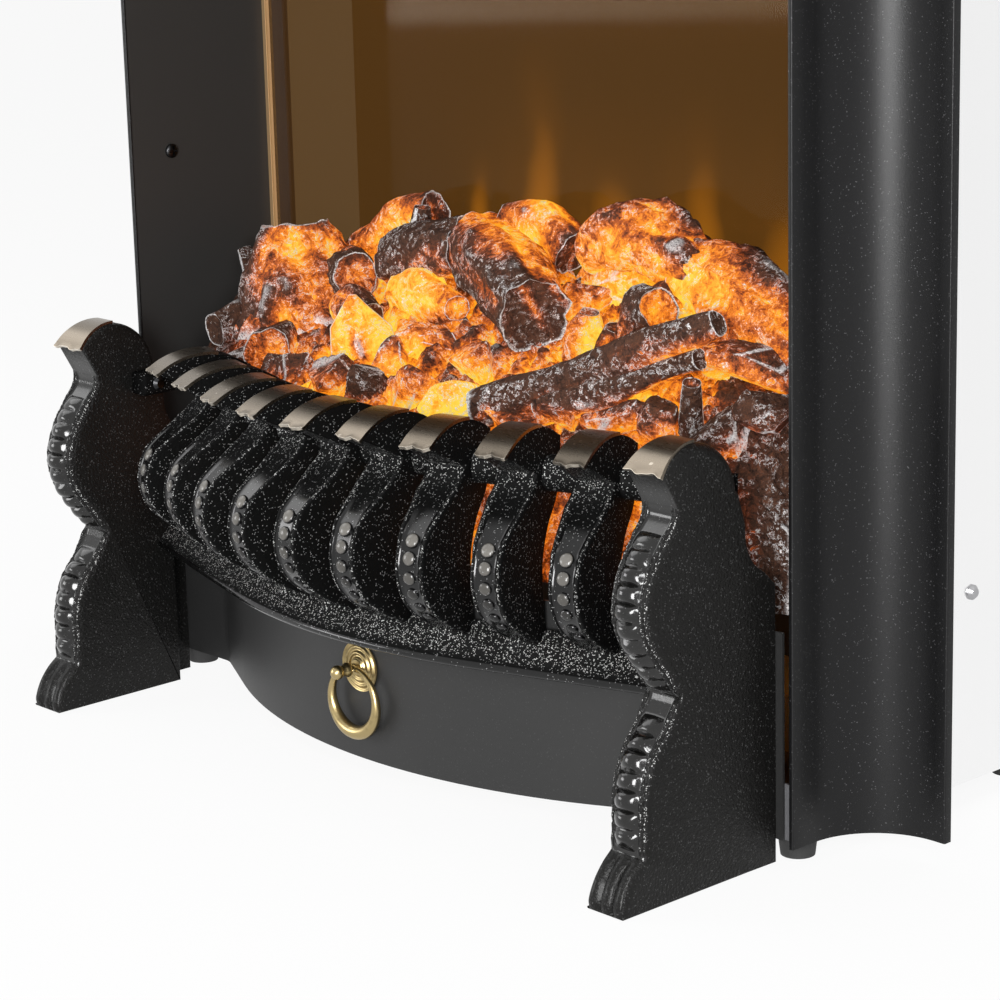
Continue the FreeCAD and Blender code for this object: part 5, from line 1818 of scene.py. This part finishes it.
@dataclass
class FireBed:
    """Moulded bed: a lumpy ember heap, logs, branches and leaning coals.

    Attributes:
        half: half its width.
        floor: height that it stands on.
        rear: depth of its rear.
        set_back: how far its front is set back from the fret's tips.
        sides: places round a log.
        steps: places along a log.
        columns: places across the heap.
        rows: places from the heap's front to its rear.
        wall_rows: places up its front wall.
        big_lumps: number of large embers and the gap between them.
        small_lumps: number of small ones and their gap.
        bark_size: size of the bark's flakes.
        bulge_size: size of a log's bulges.
        bulge: height of the bulges in radii.
        squeeze: how far the bark is drawn out along a log.
        seed: seed of the embers.
        coal_seed: start of the coals' seeds.
        coal_faces: planes that cut a coal.
    """

    half: float = 204.0
    floor: float = 100.0
    rear: float = 80.0
    set_back: float = 50.0
    sides: int = 60
    steps: int = 54
    columns: int = 330
    rows: int = 130
    wall_rows: int = 14
    big_lumps: Tuple[int, float] = (300, 8.0)
    small_lumps: Tuple[int, float] = (1500, 3.6)
    bark_size: float = 8.0
    bulge_size: float = 30.0
    bulge: float = 0.14
    squeeze: float = 0.72
    seed: int = 7
    coal_seed: int = 900
    coal_faces: int = 10

    def __post_init__(self) -> None:
        """Start the seeded draws."""
        self.draw = np.random.default_rng(self.seed)
        self.bow = Bow()

    def level(self, share: Array) -> Array:
        """Height of the heap from its front, nought, to its rear, one."""
        return np.interp(share, [0, 0.07, 0.2, 0.4, 0.65, 0.85, 1.0], [146, 157, 166, 177, 188, 203, 205])

    def warmth(self, x: Array) -> Array:
        """How strongly the bed glows along its width."""
        return np.interp(np.abs(x + 4), [0, 110, 158, 190, 204], [1.0, 1.0, 0.55, 0.1, 0.0])

    def build(self) -> None:
        """Make the heap, the logs and the coals."""
        self._heap().piece("ember_heap", LOG_BED, Body.CASE, "log_bed", ["fuel_bed"], sharp=80)
        logs = Form()
        for seed, log in enumerate(STUMP + BIG_LOGS + BRANCHES + SPLINTERS):
            self._log(logs, log, seed)
        logs.piece("fire_logs", LOG_BED, Body.CASE, "log_bed", sharp=70)
        coals = Form()
        for seed, coal in enumerate(COALS):
            self._coal(coals, coal, seed)
        coals.piece("fire_coals", LOG_BED, Body.CASE, "log_bed", sharp=38)

    def _heap(self) -> Form:
        """Heap up embers with glowing gaps between the lumps, and a front wall.

        Returns:
            The heap's points and faces.
        """
        x = np.linspace(-self.half, self.half, self.columns)
        share = np.concatenate([np.zeros(self.wall_rows), np.linspace(0, 1, self.rows)])
        drop = np.concatenate([np.linspace(1, 0.04, self.wall_rows), np.zeros(self.rows)])
        wide, deep = np.meshgrid(x, share, indexing="ij")
        front = self.bow.y(self.set_back, x)[:, None]
        flat = np.stack([wide, front + (self.rear - front) * deep, np.zeros_like(wide)], axis=2)
        big, tone = self._lumps(flat, *self.big_lumps)
        small, _ = self._lumps(flat, *self.small_lumps)
        crown = 9.0 * np.sqrt(big) * (0.45 + 0.55 * tone) + 3.2 * np.sqrt(small) + 2.2 * rough(flat, 12, 3)
        top = self.level(deep) + crown + 4 * rough(flat, 55, 5, 2)
        end = np.clip((self.half - np.abs(wide)) / np.where(wide > 0, 26.0, 14.0), 0, 1)
        body = flat.copy()
        body[..., 2] = self.floor + (top - self.floor) * np.sqrt(end) * (1 - drop[None])
        wall = np.broadcast_to(drop > 0.02, wide.shape)
        body[..., 1] += np.where(wall, 2.0 + 2.5 * rough(body, 14, 8), 0.0)
        glow = 0.22 + 0.5 * (1 - big) + 0.3 * (1 - small) + 0.35 * rough(flat, 45, 11, 2)
        glow = np.where(wall, 0.85 + 0.4 * rough(body, 20, 4, 2), glow) * self.warmth(wide) - 0.35 * (1 - end)
        ashy = np.where(wall, 0.0, 0.8 * big * small) + 1.5 * (1 - end)
        form = Form()
        form.sheet(body, False, glow, np.clip(ashy, 0, 0.95))
        return form

    def _lumps(self, flat: Array, count: int, gap: float) -> Tuple[Array, Array]:
        """Divide the bed into lumps round seeded places.

        Args:
            flat: places on the bed, seen from above.
            count: how many lumps there are.
            gap: width of the gaps between them.

        Returns:
            Fullness of the lump at each place, nought in the gaps, and a value for the lump.
        """
        x = self.draw.uniform(-self.half, self.half, count)
        y = self.draw.uniform(-40, self.rear, count)
        tone = self.draw.uniform(0, 1, count)
        places = flat.reshape(-1, 3)
        stray = np.stack([rough(places, gap * 2, 21, 2), rough(places, gap * 2, 22, 2)], axis=1)
        bent = places[:, :2] + gap * 0.5 * stray
        near, far = np.full(len(places), 1e9), np.full(len(places), 1e9)
        best = np.zeros(len(places), int)
        for k in range(count):
            away = np.hypot(bent[:, 0] - x[k], bent[:, 1] - y[k])
            closer = away < near
            far = np.where(closer, near, np.minimum(far, away))
            best[closer] = k
            near = np.minimum(near, away)
        full = np.clip((far - near) / gap, 0, 1)
        return full.reshape(flat.shape[:2]), tone[best].reshape(flat.shape[:2])

    def _log(self, form: Form, log: Log, seed: int) -> None:
        """Add a log with barked sides and dished ends.

        Args:
            form: takes the points.
            log: the log's sizes.
            seed: chooses its bark.
        """
        knots = np.array(log.path, float)
        along = np.linspace(0, len(knots) - 1, self.steps)
        line = np.stack([np.interp(along, range(len(knots)), knots[:, k]) for k in range(3)], axis=1)
        size = np.interp(along, range(len(knots)), log.radii)[:, None]
        way = np.gradient(line, axis=0)
        way /= np.linalg.norm(way, axis=1)[:, None]
        side = np.cross(way, [0.0, 0.0, 1.0]) if log.guide is None else way * 0 + np.array(log.guide)
        side /= np.linalg.norm(side, axis=1)[:, None]
        up = np.cross(side, way)
        turn = np.linspace(0, 2 * np.pi, self.sides, endpoint=False)
        ring = side[:, None] * np.cos(turn)[None, :, None]
        ring = ring + up[:, None] * np.sin(turn)[None, :, None] * log.flat
        spots = line[:, None] + ring * size[..., None]
        heading = way.mean(0)
        squeezed = spots - ((spots - line.mean(0)) @ heading)[..., None] * heading * self.squeeze
        bark = rough(squeezed, self.bark_size, seed + 1, 4)
        bulge = rough(spots, self.bulge_size, seed + 51, 2)
        rows = line[:, None] + ring * (size * (1 + log.bark * bark + self.bulge * bulge))[..., None]
        tips = [0, -1]
        ragged = 0.11 * size[tips] * rough(spots[tips], 7.0, seed + 9, 2)
        rows[tips] += way[tips][:, None] * ragged[..., None]
        rows[..., 1] = np.minimum(rows[..., 1], self.rear)
        reach = np.linalg.norm(np.diff(line, axis=0), axis=1).sum()
        burnt = 0.35 * np.exp(-reach * np.linspace(0, 1, self.steps) / 6.0)
        glow = log.light + 0.42 * (ring @ np.array(log.lit)) + 0.25 * bulge - 0.3 * bark - burnt[::-1, None]
        ridge = np.clip(0.3 + 0.5 * bark, 0, 0.85)
        if log.rim:
            ridge = np.maximum(ridge, np.abs(np.cos(turn))[None] ** 6)
        ridge[tips] = 1.0
        near, near_glow = self._end(log, rows[0], line[0], way[0], ring[0], size[0])
        far, far_glow = self._end(log, rows[-1], line[-1], -way[-1], ring[-1], size[-1])
        plain = np.full_like(far_glow, 0.35)
        plain[0] = 0.7
        form.loft(np.concatenate([near[::-1], rows, far]), np.concatenate([near_glow[::-1], glow, far_glow]),
                  np.concatenate([plain[::-1], ridge, plain]))

    def _end(self, log: Log, rim: Array, middle: Array, inward: Array, ring: Array,
             size: Array) -> Tuple[Array, Array]:
        """Dish one end, grooved across where the log was split.

        Args:
            log: the log's sizes.
            rim: places of the end's rim.
            middle: the end's middle.
            inward: direction into the log.
            ring: directions from the middle to the rim.
            size: radius at the end.

        Returns:
            The end's rings from the rim inwards, and their glow.
        """
        layers, glow = [], []
        for t in np.concatenate([[0.93, 0.87], np.linspace(0.8, 0.05, 8)]):
            groove = np.abs(np.sin(ring[:, 0] * t * log.grooves * 1.6))
            sunk = log.dish * size * (1 - t) ** 0.6 + 2.2 * groove[:, None]
            layers.append(middle + (rim - middle) * t + inward * sunk)
            glow.append(log.end - 0.25 * t - 0.45 * groove + 0.25 * ring[:, 2] * t * (log.grooves > 0))
        return np.stack(layers), np.stack(glow)

    def _coal(self, form: Form, coal: Coal, seed: int) -> None:
        """Add one angular coal, cut by seeded planes.

        Args:
            form: takes the points.
            coal: the coal's sizes.
            seed: chooses its planes.
        """
        draw = np.random.default_rng(self.coal_seed + seed)
        planes = draw.normal(size=(self.coal_faces, 3))
        planes /= np.linalg.norm(planes, axis=1)[:, None]
        reach = draw.uniform(0.62, 1.0, self.coal_faces)
        tilt = np.linspace(-np.pi / 2 + 0.1, np.pi / 2 - 0.1, 22)[:, None]
        spin = np.linspace(0, 2 * np.pi, 40, endpoint=False)
        level = np.cos(tilt)
        way = np.stack(np.broadcast_arrays(level * np.cos(spin), level * np.sin(spin), np.sin(tilt)), axis=2)
        hit = way @ planes.T
        depth = np.sort(np.where(hit > 0.05, reach / np.maximum(hit, 0.05), 9.0), axis=2)
        edge = np.clip(1 - (depth[..., 1] - depth[..., 0]) / 0.22, 0, 1)
        lean = Matrix.Rotation(coal.turn, 3, "Z") @ Matrix.Rotation(draw.uniform(-0.5, 0.4), 3, "Y")
        body = (way * np.minimum(depth[..., :1], 1.5) * np.array(coal.size)) @ np.array(lean).T
        body += 0.6 * rough(body + seed * 31.0, 6, seed, 2)[..., None] * way
        glow = coal.light + 0.28 - 0.3 * way[..., 2] + 0.15 * rough(body, 12, seed, 2)
        form.loft(np.array(coal.centre) + body, glow, np.maximum(edge, 0.3))


class CarriedOver:
    """Nodes of the frame that keep their own shape and get a finish."""

    OWN: ClassVar[Dict[str, Finish]] = {"ash_cover": COVER_SHEET, "side_panel_left": REVEAL_SHEET,
                                        "side_panel_right": REVEAL_SHEET, "fret_screws": BLACK_SCREW}

    def __init__(self, frame: Dict[str, Any]) -> None:
        """Read each node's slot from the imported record."""
        self.nodes = frame["nodes"]
        self.slots = {row["node"]: row["material_slot"] for row in frame["record"]["subparts"]}

    def dress(self) -> None:
        """Give every node its own finish, or else its slot's."""
        by_slot = {finish.name: finish for finish in FINISHES}
        for name, node in self.nodes.items():
            finish = self.OWN.get(name, by_slot[self.slots[name]])
            node.data.materials.clear()
            node.data.materials.append(finish.material())
            LOG.info("%s: %s", name, finish.name)


@dataclass(frozen=True)
class Lamp:
    """Soft rectangular lamp: place and size in metres, and power in watts."""

    name: str
    place: Point
    size: Tuple[float, float]
    power: float


LAMPS = (
    Lamp("key_lamp", (-1.15, -0.35, 1.25), (0.9, 0.9), 5),
    Lamp("left_lamp", (-1.25, -1.35, 0.45), (0.7, 0.6), 10),
    Lamp("glint_lamp", (1.25, -0.85, 0.8), (0.3, 0.3), 7),
    Lamp("low_lamp", (1.12, -1.48, 0.42), (0.5, 0.8), 38),
    Lamp("top_lamp", (0.3, 0.3, 2.1), (1.2, 1.2), 10))


@dataclass
class Studio:
    """Camera, soft lights, plain surroundings and a white floor.

    Attributes:
        eye: the camera's place in millimetres, its depth counted from the side panels' front.
        right: the camera's direction to the right.
        up: its direction upwards.
        lens: its focal length in millimetres.
        sensor: the width of its sensor in millimetres.
        ambient: strength of the surroundings' light.
        aim: the place in metres that the lamps face.
        reach: half width of the floor in metres.
        floor_tone: colour of the floor.
        floor_white: how white the floor is to the eye; the rest keeps the shadow.
    """

    eye: Point = (985.5, -864.9, 449.1)
    right: Point = (0.6808, 0.7320, -0.0247)
    up: Point = (-0.1626, 0.1839, 0.9694)
    lens: float = 109.32
    sensor: float = 36.0
    ambient: float = 0.24
    aim: Point = (0.0, 0.0, 0.25)
    reach: float = 12.0
    floor_tone: Colour = (0.86, 0.86, 0.86)
    floor_white: float = 0.92

    def build(self) -> None:
        """Set everything up."""
        scene = bpy.context.scene
        scene.view_settings.view_transform = "Standard"
        self._camera(scene)
        self._world(scene)
        self._floor(scene)
        for lamp in LAMPS:
            self._lamp(scene, lamp)

    def _camera(self, scene: bpy.types.Scene) -> None:
        """Put the camera at the picture's place and angle.

        Args:
            scene: takes the camera.
        """
        data = bpy.data.cameras.new("camera")
        data.lens, data.sensor_width = self.lens, self.sensor
        made = bpy.data.objects.new("camera", data)
        right = Vector(self.right).normalized()
        back = right.cross(Vector(self.up)).normalized()
        turn = Matrix((right, back.cross(right), back)).transposed().to_4x4()
        place = Vector((self.eye[0], self.eye[1] + Datum.front, self.eye[2])) * MM
        made.matrix_world = Matrix.Translation(place) @ turn
        scene.collection.objects.link(made)
        scene.camera = made

    def _world(self, scene: bpy.types.Scene) -> None:
        """Make even, soft, neutral surroundings.

        Args:
            scene: takes the surroundings.
        """
        shade = Shade("surroundings", Stuff.WORLD)
        shade.set(Color=(1.0, 1.0, 1.0), Strength=self._seen(shade) * (1.0 - self.ambient) + self.ambient)
        scene.world = shade.material

    def _seen(self, shade: Shade) -> Wire:
        """Tell rays that see the background from those that light the object.

        Args:
            shade: takes the nodes.

        Returns:
            One to the eye, in gloss and through glass, else nought.
        """
        seen = shade.node("ShaderNodeLightPath", {}, {}, "Is Camera Ray")
        for name in ("Is Glossy Ray", "Is Transmission Ray"):
            seen = seen.top(shade.node("ShaderNodeLightPath", {}, {}, name))
        return seen

    def _floor(self, scene: bpy.types.Scene) -> None:
        """Lay a pale floor: white to the eye, in gloss and through glass, and it keeps a faint shadow.

        Args:
            scene: takes the floor.
        """
        mesh = bpy.data.meshes.new("floor")
        far = self.reach
        corners = [(-far, -far, 0), (far, -far, 0), (far, far, 0), (-far, far, 0)]
        mesh.from_pydata(corners, [], [(0, 1, 2, 3)])
        made = bpy.data.objects.new("floor", mesh)
        scene.collection.objects.link(made)
        shade = Shade("pale_floor")
        shade.set(Base_Color=self.floor_tone, Roughness=0.9, Specular_IOR_Level=0.0)
        white = shade.node("ShaderNodeEmission", {}, {"Strength": 1.0})
        plain = Wire(shade, shade.shader.outputs[0])
        share = self._seen(shade) * self.floor_white
        blend = shade.node("ShaderNodeMixShader", {}, {0: share, 1: plain, 2: white})
        shade.put(shade.output.inputs[0], blend)
        mesh.materials.append(shade.material)

    def _lamp(self, scene: bpy.types.Scene, lamp: Lamp) -> None:
        """Hang one lamp so that it faces the object.

        Args:
            scene: takes the lamp.
            lamp: its place, size and power.
        """
        data = bpy.data.lights.new(lamp.name, "AREA")
        data.shape = "RECTANGLE"
        data.energy = lamp.power
        data.size, data.size_y = lamp.size
        made = bpy.data.objects.new(lamp.name, data)
        made.location = lamp.place
        made.rotation_euler = (Vector(self.aim) - Vector(lamp.place)).to_track_quat("-Z", "Y").to_euler()
        scene.collection.objects.link(made)


def main() -> None:
    """Build the looks in order and note the sizes."""
    logging.basicConfig(level=logging.INFO, format="%(message)s")
    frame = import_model()
    Datum.read()
    CarriedOver(frame).dress()
    parts = (Surround(), RevealScrews(), FretComb(), FretLegs(), RingPull(), GlassSheet(), FireBed(),
             Studio())
    for part in parts:
        part.build()
        LOG.info("built %s", type(part).__name__)
    bpy.context.view_layer.update()


if __name__ == "__main__":
    main()
